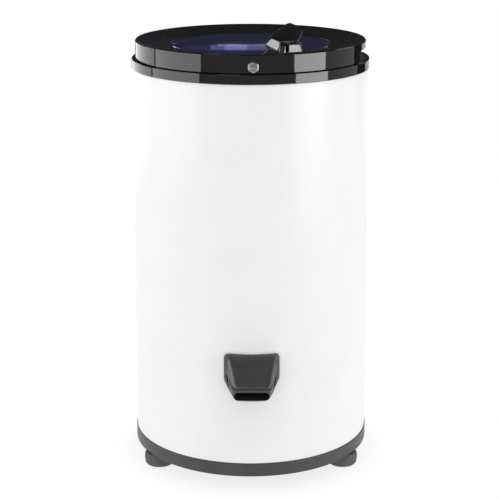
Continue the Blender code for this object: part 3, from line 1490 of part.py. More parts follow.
# Lid window and seal
GLASS_R_INSET = 0.0544
GLASS_R = BODY_R - GLASS_R_INSET
GLASS_LOW = SEAT_GLASS_LOW + GAP
GLASS_EDGE_Z = 0.6088
GLASS_BEAD_R_INSET = 0.0556
GLASS_BEAD_R = BODY_R - GLASS_BEAD_R_INSET
GLASS_BEAD_Z = 0.6103
GLASS_BEAD_IN_R_INSET = 0.0578
GLASS_BEAD_IN_R = BODY_R - GLASS_BEAD_IN_R_INSET
GLASS_FLAT_R_INSET = 0.0599
GLASS_FLAT_R = BODY_R - GLASS_FLAT_R_INSET
GLASS_FLAT_Z = 0.6086
GLASS_MID_R = 0.0600
GLASS_MID_Z = 0.6091
GLASS_TOP_Z = 0.6093
window = turned(
    "lid_window",
    [
        (0, GLASS_LOW),
        (GLASS_R, GLASS_LOW),
        (GLASS_R, GLASS_EDGE_Z),
        (GLASS_BEAD_R, GLASS_BEAD_Z),
        (GLASS_BEAD_IN_R, GLASS_BEAD_Z),
        (GLASS_FLAT_R, GLASS_FLAT_Z),
        (GLASS_MID_R, GLASS_MID_Z),
        (0, GLASS_TOP_Z),
    ],
    BIG,
)
finish(window, BLUE, 0.05, 0.0, LID_AXIS)
seal = ring("lid_seal", GROOVE_IN + GAP, GROOVE_OUT - GAP, LEDGE_Z + GAP, GROOVE_TOP - GAP)
finish(seal, RUBBER, 0.8, 0.0, LID_AXIS)

# Latch bolt, the lever's axle
BOLT_HEAD_R = 0.0083
BOLT_HEAD_BACK_INSET = 0.0027
BOLT_HEAD_BACK = BOLT_HEAD_BACK_INSET - BODY_R
BOLT_HEAD_FRONT_PROUD = 0.0029
BOLT_HEAD_FRONT = -BODY_R - BOLT_HEAD_FRONT_PROUD
BOLT_SINK = 0.0020
hexagon = arc((LATCH_X, LATCH_Z), BOLT_HEAD_R, 90, 450, 6)[:-1]
bolt = prism("latch_bolt", hexagon, BOLT_HEAD_FRONT, BOLT_HEAD_BACK, "Y")
join(bolt, rod("bolt_shank", (LATCH_X, LATCH_Z), BOLT_R, BOLT_HEAD_BACK - BOLT_SINK, BOLT_END, "Y"))
finish(bolt, CHROME, 0.12, 1.0, LID_AXIS)

# Lever arm with its hook
LATCH_AXIS = empty("latch_axis", LID_AXIS, (LATCH_X - HINGE_X, POCKET_FRONT, LATCH_Z - HINGE_Z))
ARM_FRONT_INSET = 0.0119
ARM_FRONT = ARM_FRONT_INSET - BODY_R
ARM_BACK_INSET = 0.0169
ARM_BACK = ARM_BACK_INSET - BODY_R
EYE_R = 0.0070
BAR_HALF = 0.0040
BAR_LEAN = 40.0
BAR_LENGTH = 0.0420
HOOK_IN = 0.0165
HOOK_OUT = 0.0215
HOOK_LEAN = 165.0
HOOK_END = 198.0
SPOKE_HALF = 0.0025
BAR_TURN = math.degrees(math.asin(BAR_HALF / EYE_R))
SPOKE_TURN = math.degrees(math.asin(SPOKE_HALF / EYE_R))
SPOKE_IN_TURN = math.degrees(math.asin(SPOKE_HALF / HOOK_IN))
SPOKE_OUT_TURN = math.degrees(math.asin(SPOKE_HALF / HOOK_OUT))
LATCH = (LATCH_X, LATCH_Z)


def from_latch(along, across):
    lean = math.radians(BAR_LEAN)
    x = LATCH_X + along * math.cos(lean) + across * math.sin(lean)
    z = LATCH_Z + along * math.sin(lean) - across * math.cos(lean)
    return (x, z)


arm_outline = [from_latch(BAR_LENGTH, BAR_HALF), from_latch(BAR_LENGTH, -BAR_HALF)]
arm_outline += arc(LATCH, EYE_R, BAR_LEAN + BAR_TURN, HOOK_LEAN - SPOKE_TURN, 6)
arm_outline += arc(LATCH, HOOK_OUT, HOOK_LEAN - SPOKE_OUT_TURN, HOOK_END, 6)
arm_outline += arc(LATCH, HOOK_IN, HOOK_END, HOOK_LEAN + SPOKE_IN_TURN, 4)
arm_outline += arc(LATCH, EYE_R, HOOK_LEAN + SPOKE_TURN, 360 + BAR_LEAN - BAR_TURN, 12)
arm = prism("latch_arm", arm_outline, ARM_FRONT, ARM_BACK, "Y")
EYE_BOSS_R = 0.0062
join(arm, rod("eye_boss", LATCH, EYE_BOSS_R, POCKET_FRONT + GAP, POCKET_BACK - GAP, "Y"))
cut(arm, rod("eye_hole", LATCH, BOLT_R + GAP, POCKET_FRONT - OVER, POCKET_BACK + OVER, "Y"))
finish(arm, STEEL, 0.3, 1.0, LATCH_AXIS)

# Lever handle: neck, block over the lid's front edge and paddle
NECK_FRONT_INSET = 0.0099
NECK_FRONT = NECK_FRONT_INSET - BODY_R
NECK_BACK_INSET = 0.0244
NECK_BACK = NECK_BACK_INSET - BODY_R
NECK_EDGES = [
    (0.0402, 0.6309),
    (0.0388, 0.6184),
    (0.0239, 0.6242),
    (0.0205, 0.6270),
    (0.0194, 0.6296),
    (0.0288, 0.6390),
    (0.0402, 0.6400),
]
BLOCK_LOW = 0.6178
BLOCK_BACK_INSET = 0.0324
BLOCK_BACK = BLOCK_BACK_INSET - BODY_R
BLOCK_FACE = [
    (0.0388, 0.0116, BLOCK_LOW),
    (0.0520, 0.0138, BLOCK_LOW),
    (0.0723, 0.0217, BLOCK_LOW),
    (0.0395, 0.0124, 0.6340),
    (0.0520, 0.0144, 0.6340),
    (0.0650, 0.0194, 0.6336),
    (0.0702, 0.0209, 0.6299),
    (0.0722, 0.0217, 0.6251),
]
PADDLE_FOOT_Y_INSET = 0.0204
PADDLE_FOOT_Y = PADDLE_FOOT_Y_INSET - BODY_R
PADDLE_FOOT_Z = 0.6320
PADDLE_LEAN = math.tan(math.radians(25.0))
PADDLE_THICK = 0.0075
PADDLE_EDGES = [
    (0.0534, 0.6559),
    (0.0482, 0.6542),
    (0.0400, 0.6489),
    (0.0356, 0.6462),
    (0.0288, 0.6389),
    (0.0293, 0.6330),
    (0.0330, 0.6260),
    (0.0620, 0.6260),
    (0.0633, 0.6369),
    (0.0687, 0.6408),
    (0.0715, 0.6460),
    (0.0654, 0.6502),
    (0.0587, 0.6542),
]
neck_points = [(x, y, z) for x, z in NECK_EDGES for y in (NECK_FRONT, NECK_BACK)]
handle = hull("latch_handle", neck_points)
block_points = [(x, depth - BODY_R, z) for x, depth, z in BLOCK_FACE]
block_points += [(x, BLOCK_BACK, z) for x, depth, z in BLOCK_FACE]
join(handle, hull("handle_block", block_points))
paddle_points = []
for x, z in PADDLE_EDGES:
    paddle_y = PADDLE_FOOT_Y + (z - PADDLE_FOOT_Z) * PADDLE_LEAN
    paddle_points += [(x, paddle_y, z), (x, paddle_y + PADDLE_THICK, z)]
join(handle, hull("handle_paddle", paddle_points))
cut(
    handle,
    prism(
        "arm_pocket",
        [
            from_latch(0, BAR_HALF + GAP),
            from_latch(BAR_LENGTH + GAP, BAR_HALF + GAP),
            from_latch(BAR_LENGTH + GAP, -BAR_HALF - GAP),
            from_latch(0, -BAR_HALF - GAP),
        ],
        ARM_FRONT - GAP,
        ARM_BACK + GAP,
        "Y",
    ),
)
finish(handle, BLACK, 0.3, 0.0, LATCH_AXIS)
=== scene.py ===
import json
import math

import bmesh
import bpy
import numpy as np
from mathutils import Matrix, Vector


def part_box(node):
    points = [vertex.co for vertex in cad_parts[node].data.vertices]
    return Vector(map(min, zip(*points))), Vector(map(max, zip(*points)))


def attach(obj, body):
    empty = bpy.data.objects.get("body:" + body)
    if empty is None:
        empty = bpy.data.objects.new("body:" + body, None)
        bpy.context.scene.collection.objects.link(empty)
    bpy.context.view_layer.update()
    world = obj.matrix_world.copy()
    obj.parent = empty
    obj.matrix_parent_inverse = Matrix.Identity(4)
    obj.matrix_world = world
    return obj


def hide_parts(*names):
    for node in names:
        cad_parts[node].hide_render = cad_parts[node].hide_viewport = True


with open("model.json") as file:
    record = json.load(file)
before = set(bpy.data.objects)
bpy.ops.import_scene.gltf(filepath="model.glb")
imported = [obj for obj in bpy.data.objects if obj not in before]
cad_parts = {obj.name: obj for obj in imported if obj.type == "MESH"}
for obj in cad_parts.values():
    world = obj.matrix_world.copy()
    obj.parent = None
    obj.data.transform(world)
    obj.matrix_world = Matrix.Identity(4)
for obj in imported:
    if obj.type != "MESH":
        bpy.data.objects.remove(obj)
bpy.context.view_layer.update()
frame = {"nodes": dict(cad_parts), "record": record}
print("solids loaded:", len(frame["nodes"]))

mm = 0.001
slotOf = {part["node"]: part["material_slot"] for part in frame["record"]["subparts"]}
shellLow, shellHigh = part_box("housing_shell")
middle = np.array([(shellLow.x + shellHigh.x) / 2, (shellLow.y + shellHigh.y) / 2, 0.0])  # the body's upright axis
bpy.context.scene.view_settings.view_transform = "Standard"


# camera, at the photograph's place
cameraLook = {"place": (0, -2.1892, 0.9157), "down": 9.2, "roll": 0.06, "lens": 110.46, "shift": (-0.0006, -0.344)}


def setCamera(look):
    data = bpy.data.cameras.new("camera")
    data.sensor_width = 36
    data.lens = look["lens"]
    data.shift_x, data.shift_y = look["shift"]
    data.clip_end = 60
    camera = bpy.data.objects.new("camera", data)
    camera.location = look["place"]
    camera.rotation_euler = (math.radians(90 - look["down"]), math.radians(look["roll"]), 0)
    bpy.context.collection.objects.link(camera)
    bpy.context.scene.camera = camera


setCamera(cameraLook)


# shader sums
class Wire:
    # a socket that takes part in sums: each sign adds its Math node, also with the number on the left
    def __init__(self, tree, socket):
        self.tree, self.socket = tree, socket

    def maths(self, operation, *values):
        return self.tree.add("ShaderNodeMath", {"operation": operation}, dict(enumerate(values)))

    def __add__(self, other):
        return self.maths("ADD", self, other)

    def __sub__(self, other):
        return self.maths("SUBTRACT", self, other)

    def __rsub__(self, other):
        return self.maths("SUBTRACT", other, self)

    def __mul__(self, other):
        return self.maths("MULTIPLY", self, other)

    def __pow__(self, other):
        return self.maths("POWER", self, other)

    __radd__ = __add__

    def within(self, low, high):
        # 0 below low, 1 above high, and straight between
        return self.tree.add("ShaderNodeMapRange", {"clamp": True}, {"Value": self, "From Min": low, "From Max": high})


class Tree:
    # one node tree; add makes any node from its type, its settings and the values or links of its sockets
    def __init__(self, nodeTree):
        self.nodes, self.links = nodeTree.nodes, nodeTree.links
        self.nodes.clear()

    def add(self, kind, settings=None, sockets=None, out=0):
        node = self.nodes.new(kind)
        for key, value in (settings or {}).items():
            setattr(node, key, value)
        for key, value in (sockets or {}).items():
            self.join(node.inputs[key], value)
        return Wire(self, node.outputs[out]) if node.outputs else node

    def join(self, socket, value):
        if isinstance(value, Wire):
            self.links.new(value.socket, socket)
        else:
            socket.default_value = value

    def place(self, stretch=(1, 1, 1)):
        # Object coordinates, counted from the body's axis
        spot = self.add("ShaderNodeTexCoord", out="Object")
        sockets = {"Vector": spot, "Location": tuple(-middle * stretch), "Scale": stretch}
        return self.add("ShaderNodeMapping", None, sockets)

    def noise(self, place, scale, detail=3.0, rough=0.5):
        sockets = {"Vector": place, "Scale": scale, "Detail": detail, "Roughness": rough}
        return self.add("ShaderNodeTexNoise", None, sockets)

    def between(self, mask, low, high):
        # a Mix node's colours are its sockets 6 and 7, and its mixed colour is output 2
        mix = {"Factor": mask, 6: (*low, 1), 7: (*high, 1)}
        return self.add("ShaderNodeMix", {"data_type": "RGBA"}, mix, out=2)

    def bump(self, height, depth):
        return self.add("ShaderNodeBump", None, {"Height": height, "Distance": depth})


def newFinish(name, constants, made):
    # constants go on the shader's own sockets; made is what the nodes work out for the other sockets
    material = bpy.data.materials.new(name)
    material.use_nodes = True
    tree = Tree(material.node_tree)
    inputs = made(tree)
    shader = tree.add("ShaderNodeBsdfPrincipled", None, {**constants, **inputs})
    tree.add("ShaderNodeOutputMaterial", None, {"Surface": shader})
    return material


# finishes, each with the values that a user would change; lengths in millimetres
patchSpan, rubSpan, metalSpan = (0.3, 0.7), (0.62, 0.75), (0.35, 0.7)  # where a noise turns into a mask
metalPatchiness = 0.08
rubStretch = (1, 1, 0.25)  # rubbed places are longer upwards


def moulded(look):
    # broad patches of two close colours, fine grain in the bump, roughness that follows both
    def made(tree):
        place = tree.place()
        broad = tree.noise(place, 1 / (look["patch"] * mm), 4.0, 0.6)
        grain = tree.noise(place, 1 / (look["grain"] * mm), 2.0)
        rub = tree.noise(tree.place(rubStretch), 1 / (look["rub"] * mm), 5.0, 0.7).within(*rubSpan)
        return {
            "Base Color": tree.between(broad.within(*patchSpan), look["low"], look["high"]),
            "Roughness": look["rough"] + (broad - 0.5) * look["uneven"] + rub * look["rubbed"],
            "Normal": tree.bump(grain, look["depth"] * mm),
        }

    return made


def glossWalled(look):
    # as moulded, and duller inside the wall, by the distance from the body's axis: the root of x x + y y
    def made(tree):
        inputs = moulded(look)(tree)
        place = tree.place()
        x, y = (tree.add("ShaderNodeSeparateXYZ", None, {"Vector": place}, out) for out in (0, 1))
        start, end = look["wall"]
        inside = 1 - ((x * x + y * y) ** 0.5).within(start * mm, end * mm)
        inputs["Roughness"] = inputs["Roughness"] + inside * look["duller"]
        return inputs

    return made


def brushed(look):
    # long thin noise along the brushing, so its lines run round or along the piece
    def made(tree):
        lines = tree.noise(tree.place(look["lines"]), 1.0, 4.0, 0.65)
        patch = tree.noise(tree.place(), 1 / (look["patch"] * mm), 4.0, 0.6)
        return {
            "Base Color": tree.between(patch.within(*metalSpan), look["low"], look["high"]),
            "Roughness": look["rough"] + (lines - 0.5) * look["uneven"] + (patch - 0.5) * metalPatchiness,
            "Normal": tree.bump(lines, look["depth"] * mm),
        }

    return made


def wound(look):
    # turns of wire: a wave across the winding, with varnish that varies from patch to patch
    def made(tree):
        place = tree.place()
        sockets = {"Vector": place, "Scale": 0.5 / (look["wire"] * mm), "Distortion": look["wobble"]}
        turns = tree.add("ShaderNodeTexWave", {"bands_direction": "Z"}, sockets)
        patch = tree.noise(place, 1 / (look["patch"] * mm))
        return {
            "Base Color": tree.between(turns * look["banded"] + patch * look["patched"], look["low"], look["high"]),
            "Roughness": look["rough"] + patch * look["varnish"],
            "Normal": tree.bump(turns, look["wire"] * look["relief"] * mm),
        }

    return made


paintLook = {
    "low": (0.81, 0.815, 0.82), "high": (0.84, 0.845, 0.85), "rough": 0.34, "uneven": 0.05, "rubbed": 0.04,
    "patch": 90, "grain": 1.6, "depth": 0.010, "rub": 60,
}
ringLook = {
    "low": (0.032, 0.033, 0.035), "high": (0.046, 0.047, 0.050), "rough": 0.40, "uneven": 0.10, "rubbed": 0.10,
    "patch": 40, "grain": 0.5, "depth": 0.05, "rub": 30,
}
lidLook = {
    "low": (0.0042, 0.0042, 0.0040), "high": (0.0062, 0.0062, 0.0058), "rough": 0.06, "uneven": 0.03, "rubbed": 0.05,
    "patch": 50, "grain": 9.0, "depth": 0.02, "rub": 25, "wall": (165.8, 166.6), "duller": 0.16,
}
windowLook = {
    "low": (0.0095, 0.0085, 0.040), "high": (0.0120, 0.0105, 0.050), "rough": 0.035, "uneven": 0.01, "rubbed": 0.02,
    "patch": 60, "grain": 30.0, "depth": 0.002, "rub": 30,
}
spoutLook = {
    "low": (0.025, 0.025, 0.025), "high": (0.035, 0.035, 0.035), "rough": 0.44, "uneven": 0.06, "rubbed": 0.08,
    "patch": 25, "grain": 0.6, "depth": 0.03, "rub": 12,
}
leverLook = {
    "low": (0.008, 0.008, 0.009), "high": (0.013, 0.013, 0.014), "rough": 0.12, "uneven": 0.05, "rubbed": 0.06,
    "patch": 18, "grain": 3.0, "depth": 0.01, "rub": 8,
}
innerLook = {
    "low": (0.26, 0.27, 0.275), "high": (0.34, 0.35, 0.355), "rough": 0.5, "uneven": 0.1, "rubbed": 0.1,
    "patch": 45, "grain": 0.8, "depth": 0.04, "rub": 20,
}
blackLook = {
    "low": (0.014, 0.014, 0.014), "high": (0.028, 0.028, 0.028), "rough": 0.5, "uneven": 0.1, "rubbed": 0.1,
    "patch": 20, "grain": 0.7, "depth": 0.04, "rub": 12,
}
rubberLook = {
    "low": (0.055, 0.056, 0.058), "high": (0.085, 0.086, 0.088), "rough": 0.68, "uneven": 0.15, "rubbed": 0.1,
    "patch": 12, "grain": 0.6, "depth": 0.08, "rub": 9,
}
terminalLook = {
    "low": (0.60, 0.59, 0.54), "high": (0.70, 0.69, 0.64), "rough": 0.4, "uneven": 0.1, "rubbed": 0.1,
    "patch": 10, "grain": 0.6, "depth": 0.03, "rub": 9,
}
plungerLook = {
    "low": (0.50, 0.09, 0.06), "high": (0.62, 0.13, 0.08), "rough": 0.35, "uneven": 0.1, "rubbed": 0.1,
    "patch": 4, "grain": 0.5, "depth": 0.02, "rub": 5,
}
chromeLook = {
    "low": (0.27, 0.27, 0.27), "high": (0.34, 0.34, 0.33), "rough": 0.40, "uneven": 0.12,
    "patch": 5, "depth": 0.004, "lines": (300, 300, 300),
}
steelLook = {
    "low": (0.52, 0.52, 0.53), "high": (0.66, 0.66, 0.67), "rough": 0.30, "uneven": 0.22,
    "patch": 35, "depth": 0.01, "lines": (90, 90, 2600),
}
zincLook = {
    "low": (0.40, 0.41, 0.40), "high": (0.58, 0.58, 0.54), "rough": 0.38, "uneven": 0.15,
    "patch": 9, "depth": 0.02, "lines": (900, 900, 900),
}
alloyLook = {
    "low": (0.44, 0.45, 0.46), "high": (0.60, 0.61, 0.62), "rough": 0.48, "uneven": 0.2,
    "patch": 14, "depth": 0.08, "lines": (700, 700, 700),
}
# the latch arm's steel drawn near black: painted shade for where the arm lies under the handle
paintedShadeSteelLook = {
    "low": (0.055, 0.055, 0.050), "high": (0.085, 0.085, 0.075), "rough": 0.36, "uneven": 0.2,
    "patch": 12, "depth": 0.01, "lines": (400, 400, 2600),
}
windingLook = {
    "low": (0.20, 0.07, 0.03), "high": (0.60, 0.28, 0.15), "rough": 0.28, "varnish": 0.15,
    "patch": 16, "wire": 0.9, "wobble": 0.6, "banded": 0.6, "patched": 0.4, "relief": 0.3,
}

finishes = {
    "white_paint": newFinish(
        "whitePaint", {"Specular IOR Level": 0.28, "Coat Weight": 0.05, "Coat Roughness": 0.12}, moulded(paintLook)
    ),
    "grey_moulding": newFinish("ringGrey", {}, moulded(ringLook)),
    "lid_moulding": newFinish("lidGloss", {"IOR": 1.5}, glossWalled(lidLook)),
    "window_blue": newFinish("windowIndigo", {"IOR": 1.5, "Specular Tint": (0.7, 0.7, 1.0, 1)}, moulded(windowLook)),
    "spout_moulding": newFinish("spoutSatin", {"IOR": 1.75}, moulded(spoutLook)),
    "lever_moulding": newFinish("leverGloss", {"IOR": 1.70}, moulded(leverLook)),
    "inner_moulding": newFinish("innerGrey", {}, moulded(innerLook)),
    "black_moulding": newFinish("blackPlastic", {}, moulded(blackLook)),
    "bolt_chrome": newFinish("boltChrome", {"Metallic": 1.0}, brushed(chromeLook)),
    "steel": newFinish("brushedSteel", {"Metallic": 1.0}, brushed(steelLook)),
    # a near-black copy of the steel, painted shade for the latch arm
    "paintedShadeSteel": newFinish("paintedShadeSteel", {"Metallic": 1.0}, brushed(paintedShadeSteelLook)),
    "zinc": newFinish("zincPlate", {"Metallic": 1.0}, brushed(zincLook)),
    "alloy": newFinish("castAlloy", {"Metallic": 1.0}, brushed(alloyLook)),
    "windings": newFinish("copperWire", {"Metallic": 0.8}, wound(windingLook)),
    "rubber": newFinish("rubberGrey", {}, moulded(rubberLook)),
    "terminal_plastic": newFinish("terminalCream", {}, moulded(terminalLook)),
    "plunger_red": newFinish("plungerRed", {}, moulded(plungerLook)),
}
for node, solid in frame["nodes"].items():
    for place in solid.material_slots:
        place.material = finishes[slotOf[node]]
print("finishes made:", len(finishes))


# surfaces
def gridMesh(name, points, closedRows=False, closedColumns=True):
    # points[i, j] joined into quads (i, j), (i + 1, j), (i + 1, j + 1), (i, j + 1); poles and seams are merged
    rows, columns = points.shape[:2]
    i, j = np.meshgrid(
        np.arange(rows if closedRows else rows - 1), np.arange(columns if closedColumns else columns - 1), indexing="ij"
    )
    nextI, nextJ = (i + 1) % rows, (j + 1) % columns
    quads = np.stack([i * columns + j, nextI * columns + j, nextI * columns + nextJ, i * columns + nextJ], -1)
    mesh = bpy.data.meshes.new(name)
    mesh.vertices.add(rows * columns)
    mesh.vertices.foreach_set("co", points.reshape(-1))
    mesh.loops.add(quads.size)
    mesh.loops.foreach_set("vertex_index", quads.reshape(-1))
    mesh.polygons.add(quads.size // 4)
    mesh.polygons.foreach_set("loop_start", np.arange(0, quads.size, 4))
    mesh.update(calc_edges=True)
    form = bmesh.new()
    form.from_mesh(mesh)
    bmesh.ops.remove_doubles(form, verts=form.verts, dist=2e-6)
    bmesh.ops.recalc_face_normals(form, faces=form.faces)
    form.to_mesh(mesh)
    form.free()
    piece = bpy.data.objects.new(name, mesh)
    bpy.context.collection.objects.link(piece)
    return piece


def softened(corners, steps=6):
    # each corner (x, y, size) gives way to (1 - s)^2 a + 2 s (1 - s) corner + s^2 b, a and b being size away on
    # its sides, or nearly half a side where that is less; one more point beyond a and b keeps the long sides
    # flat in the light
    given = np.array(corners, float)
    corner, size = given[:, :2], given[:, 2:]
    before, after = np.roll(corner, 1, 0) - corner, np.roll(corner, -1, 0) - corner
    beforeLong = np.linalg.norm(before, axis=1, keepdims=True)
    afterLong = np.linalg.norm(after, axis=1, keepdims=True)
    reach = np.minimum(size, 0.48 * np.minimum(beforeLong, afterLong))
    a, b = corner + before / beforeLong * reach, corner + after / afterLong * reach
    s = np.linspace(0, 1, steps)[None, :, None]
    line = (1 - s) ** 2 * a[:, None] + 2 * s * (1 - s) * corner[:, None] + s**2 * b[:, None]
    beyond = np.minimum(1.7 * reach, 0.49 * np.minimum(beforeLong, afterLong))
    first, last = (corner + way * beyond for way in (before / beforeLong, after / afterLong))
    return np.concatenate([first[:, None], line, last[:, None]], 1).reshape(-1, 2)


def turned(name, corners, turns, centre=(0, 0)):
    # a profile (radius, height) turned round an upright line: x = r cos a, y = r sin a
    r, z = softened(corners).T
    a = np.linspace(0, 2 * math.pi, turns, endpoint=False)[:, None]
    points = np.stack([centre[0] + r * np.cos(a), centre[1] + r * np.sin(a), z + 0 * a], -1)
    onAxis = abs(corners[0][0]) < 1e-9 and abs(corners[-1][0]) < 1e-9
    return gridMesh(name, points * mm + middle, closedRows=True, closedColumns=not onAxis)


def softBlock(name, corners, edge, across=160, up=96):
    # every ray from the block's middle ends where the soft maximum of the heights over its sides,
    # log(sum(exp(k height))) / k, is zero; k is 2.4 over the radius of the edges
    corners = np.array(corners, float)
    hull = bmesh.new()
    for corner in corners:
        hull.verts.new(corner)
    bmesh.ops.convex_hull(hull, input=hull.verts)
    hull.normal_update()
    sides = np.array([[*face.normal, face.normal.dot(face.verts[0].co)] for face in hull.faces])
    hull.free()
    sides = sides[np.unique(np.round(sides / [1, 1, 1, 10], 3), axis=0, return_index=True)[1]]
    centre = (corners.max(0) + corners.min(0)) / 2
    half = (corners.max(0) - corners.min(0)) / 2
    turn = np.linspace(0, 2 * math.pi, across, endpoint=False)[None, :]
    rise = np.linspace(-math.pi / 2, math.pi / 2, up)[:, None]
    ray = half * np.stack([np.cos(rise) * np.cos(turn), np.cos(rise) * np.sin(turn), np.sin(rise) + 0 * turn], -1)
    slope = ray @ sides[:, :3].T
    reach = sides[:, 3] - sides[:, :3] @ centre
    k = 2.4 / edge
    far = 1 / np.max(slope / reach, -1)
    for turnOfNewton in range(12):
        height = far[..., None] * slope - reach
        top = height.max(-1, keepdims=True)
        weight = np.exp(k * (height - top))
        value = top[..., 0] + np.log(weight.sum(-1)) / k
        far = far - value / ((weight * slope).sum(-1) / weight.sum(-1))
    return gridMesh(name, (centre + far[..., None] * ray) * mm + middle)


def drill(name, start, end, radius, sides=48):
    # a straight round cutter: p(t) + radius (u cos a + v sin a), with u and v square to its line
    path = np.linspace(start, end, 3)
    along = np.gradient(path, axis=0)
    along /= np.linalg.norm(along, axis=1, keepdims=True)
    notAlong = np.array([0.3, 0.2, 0.93])
    aside = np.cross(along, notAlong)
    aside /= np.linalg.norm(aside, axis=1, keepdims=True)
    over = np.cross(along, aside)
    a = np.linspace(0, 2 * math.pi, sides, endpoint=False)[None, :, None]
    ring = path[:, None] + radius * (aside[:, None] * np.cos(a) + over[:, None] * np.sin(a))
    ends = [np.repeat(path[:1, None], sides, 1), ring, np.repeat(path[-1:, None], sides, 1)]
    return gridMesh(name, np.concatenate(ends) * mm + middle)


def carved(piece, cutters):
    # takes the cutters' forms out of the piece and keeps plain mesh
    for cutter in cutters:
        change = piece.modifiers.new("cut", "BOOLEAN")
        change.operation, change.solver, change.object = "DIFFERENCE", "EXACT", cutter
    keepShape(piece)
    for cutter in cutters:
        bpy.data.objects.remove(cutter)


def keepShape(piece):
    # works out the modifiers and keeps what they make
    bpy.context.view_layer.update()
    seen = piece.evaluated_get(bpy.context.evaluated_depsgraph_get())
    mesh = bpy.data.meshes.new_from_object(seen)
    piece.modifiers.clear()
    piece.data = mesh


def joined(name, pieces):
    # several closed forms kept as one piece
    form = bmesh.new()
    for piece in pieces:
        form.from_mesh(piece.data)
        bpy.data.objects.remove(piece)
    mesh = bpy.data.meshes.new(name)
    form.to_mesh(mesh)
    form.free()
    piece = bpy.data.objects.new(name, mesh)
    bpy.context.collection.objects.link(piece)
    return piece


def dressed(piece, body, slot, nodes, sharp=38, finish=None):
    # the piece moves with its body, takes its slot's finish or another, and stands for its solids;
    # edges that turn by more than sharp degrees stay crisp
    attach(piece, body)
    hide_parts(*nodes)
    piece.data.materials.clear()
    piece.data.materials.append(finishes[finish or slot])
    piece.data.shade_smooth()
    piece.data.set_sharp_from_angle(angle=math.radians(sharp))


def upright(name, low, high):
    # a plain cutter between two corners
    spans = list(zip(low, high))
    corners = [(x, y, z) for x in spans[0] for y in spans[1] for z in spans[2]]
    return softBlock(name, corners, 0.5, 48, 32)


# body: shell, base ring, collar and feet
shellLook = {
    "radius": 170.4, "wall": 1.0, "low": 38.1, "halfway": 300, "top": 576.1, "edge": 0.3,
    "port": ((2.2, -190, 168), (2.2, -150, 168), 12.5), "gland": ((0, 150, 70), (0, 190, 70), 9.3),
}


def makeShell(look):
    outer, inner = look["radius"], look["radius"] - look["wall"]
    low, halfway, top, edge = look["low"], look["halfway"], look["top"], look["edge"]
    shell = turned("bodyShell", [
        (inner, low, edge), (outer, low, edge), (outer, halfway, 0), (outer, top, edge), (inner, top, edge),
        (inner, halfway, 0),
    ], 288)
    carved(shell, [drill("portHole", *look["port"]), drill("glandHole", *look["gland"])])
    dressed(shell, "housing", "white_paint", ["housing_shell"])


makeShell(shellLook)

baseLook = {
    "radius": 171.5, "low": 18.8, "top": 37.8, "edge": 1.6, "spigot": (166.2, 169.1, 52), "floor": (24, 28), "vent": 60,
    "bossPlaces": ((154, 7), (85, 10)), "bossTurns": (210, 330, 90), "bossBore": 2.2, "bossFoot": (30, 26), "bossTop": 36,
}


def makeBase(look):
    inner, outer, spigotTop = look["spigot"]
    low, top = look["floor"]
    ring = turned("baseRing", [
        (look["vent"], low, 0.8), (inner, low, 0.8), (inner, look["low"], 0.8),
        (look["radius"], look["low"], look["edge"]), (look["radius"], look["top"], look["edge"]),
        (outer, look["top"], 0.4), (outer, spigotTop, 0.5), (inner, spigotTop, 0.5), (inner, top, 0.8),
        (look["vent"], top, 0.8),
    ], 288)
    bore, bossTop = look["bossBore"], look["bossTop"]
    innerFoot, outerFoot = look["bossFoot"]
    bosses = []
    for reach, radius in look["bossPlaces"]:
        profile = [(bore, innerFoot, 0.2), (radius, outerFoot, 0.2), (radius, bossTop, 0.6), (bore, bossTop, 0.2)]
        for turn in look["bossTurns"]:
            place = (reach * math.cos(math.radians(turn)), reach * math.sin(math.radians(turn)))
            bosses.append(turned("boss", profile, 64, place))
    dressed(joined("baseRing", [ring, *bosses]), "housing", "grey_moulding", ["base_ring"])


makeBase(baseLook)

footLook = {
    "turns": (210, 330, 90), "reach": 154, "names": ("left", "right", "back"),
    "profile": [
        (2.2, 8, 0.2), (6.2, 8, 0.6), (6.2, 0, 0.6), (11.5, 0, 0.5), (12.2, 1.2, 0.4), (14.2, 1.2, 0.4), (15, 0, 0.5),
        (18.5, 0, 1.2), (21, 3, 1.5), (22, 10, 3), (21.5, 16.5, 2), (19.5, 18.5, 1.2), (11, 18.5, 0.3), (11, 23.7, 0.4),
        (2.2, 23.7, 0.2),
    ],
}


def makeFeet(look):
    for turn, side in zip(look["turns"], look["names"]):
        a = math.radians(turn)
        place = (look["reach"] * math.cos(a), look["reach"] * math.sin(a))
        foot = turned("rubberFoot_" + side, look["profile"], 96, place)
        dressed(foot, "housing", "rubber", ["foot_" + side])


makeFeet(footLook)

collarLook = {
    "radius": 172.5, "low": 576.4, "top": 591.7, "rim": (154.5, 590.2), "edge": 0.9, "ledge": 140, "plate": 588.7,
    "spigot": (166.2, 169.1, 559.3),
    "hookSlot": ((-18.5, -160, 570), (8, -152, 600)), "stemSlot": ((-164.3, -8.8, 570), (-158.3, 8.8, 600)),
}


def makeCollar(look):
    inner, outer, spigotLow = look["spigot"]
    rimInner, rimTop = look["rim"]
    top, ledge, plate = look["top"], look["ledge"], look["plate"]
    collar = turned("collarRing", [
        (inner, spigotLow, 0.5), (outer, spigotLow, 0.5), (outer, look["low"], 0.3), (look["radius"], look["low"], 0.5),
        (look["radius"], rimTop, look["edge"]), (rimInner, rimTop, 0.3), (rimInner, top, 0.3), (ledge, top, 0.8),
        (ledge, plate, 0.8), (inner, plate, 0.5),
    ], 288)
    carved(collar, [upright("hookSlotCutter", *look["hookSlot"]), upright("stemSlotCutter", *look["stemSlot"])])
    dressed(collar, "housing", "lid_moulding", ["collar"])


makeCollar(collarLook)
print("body made")


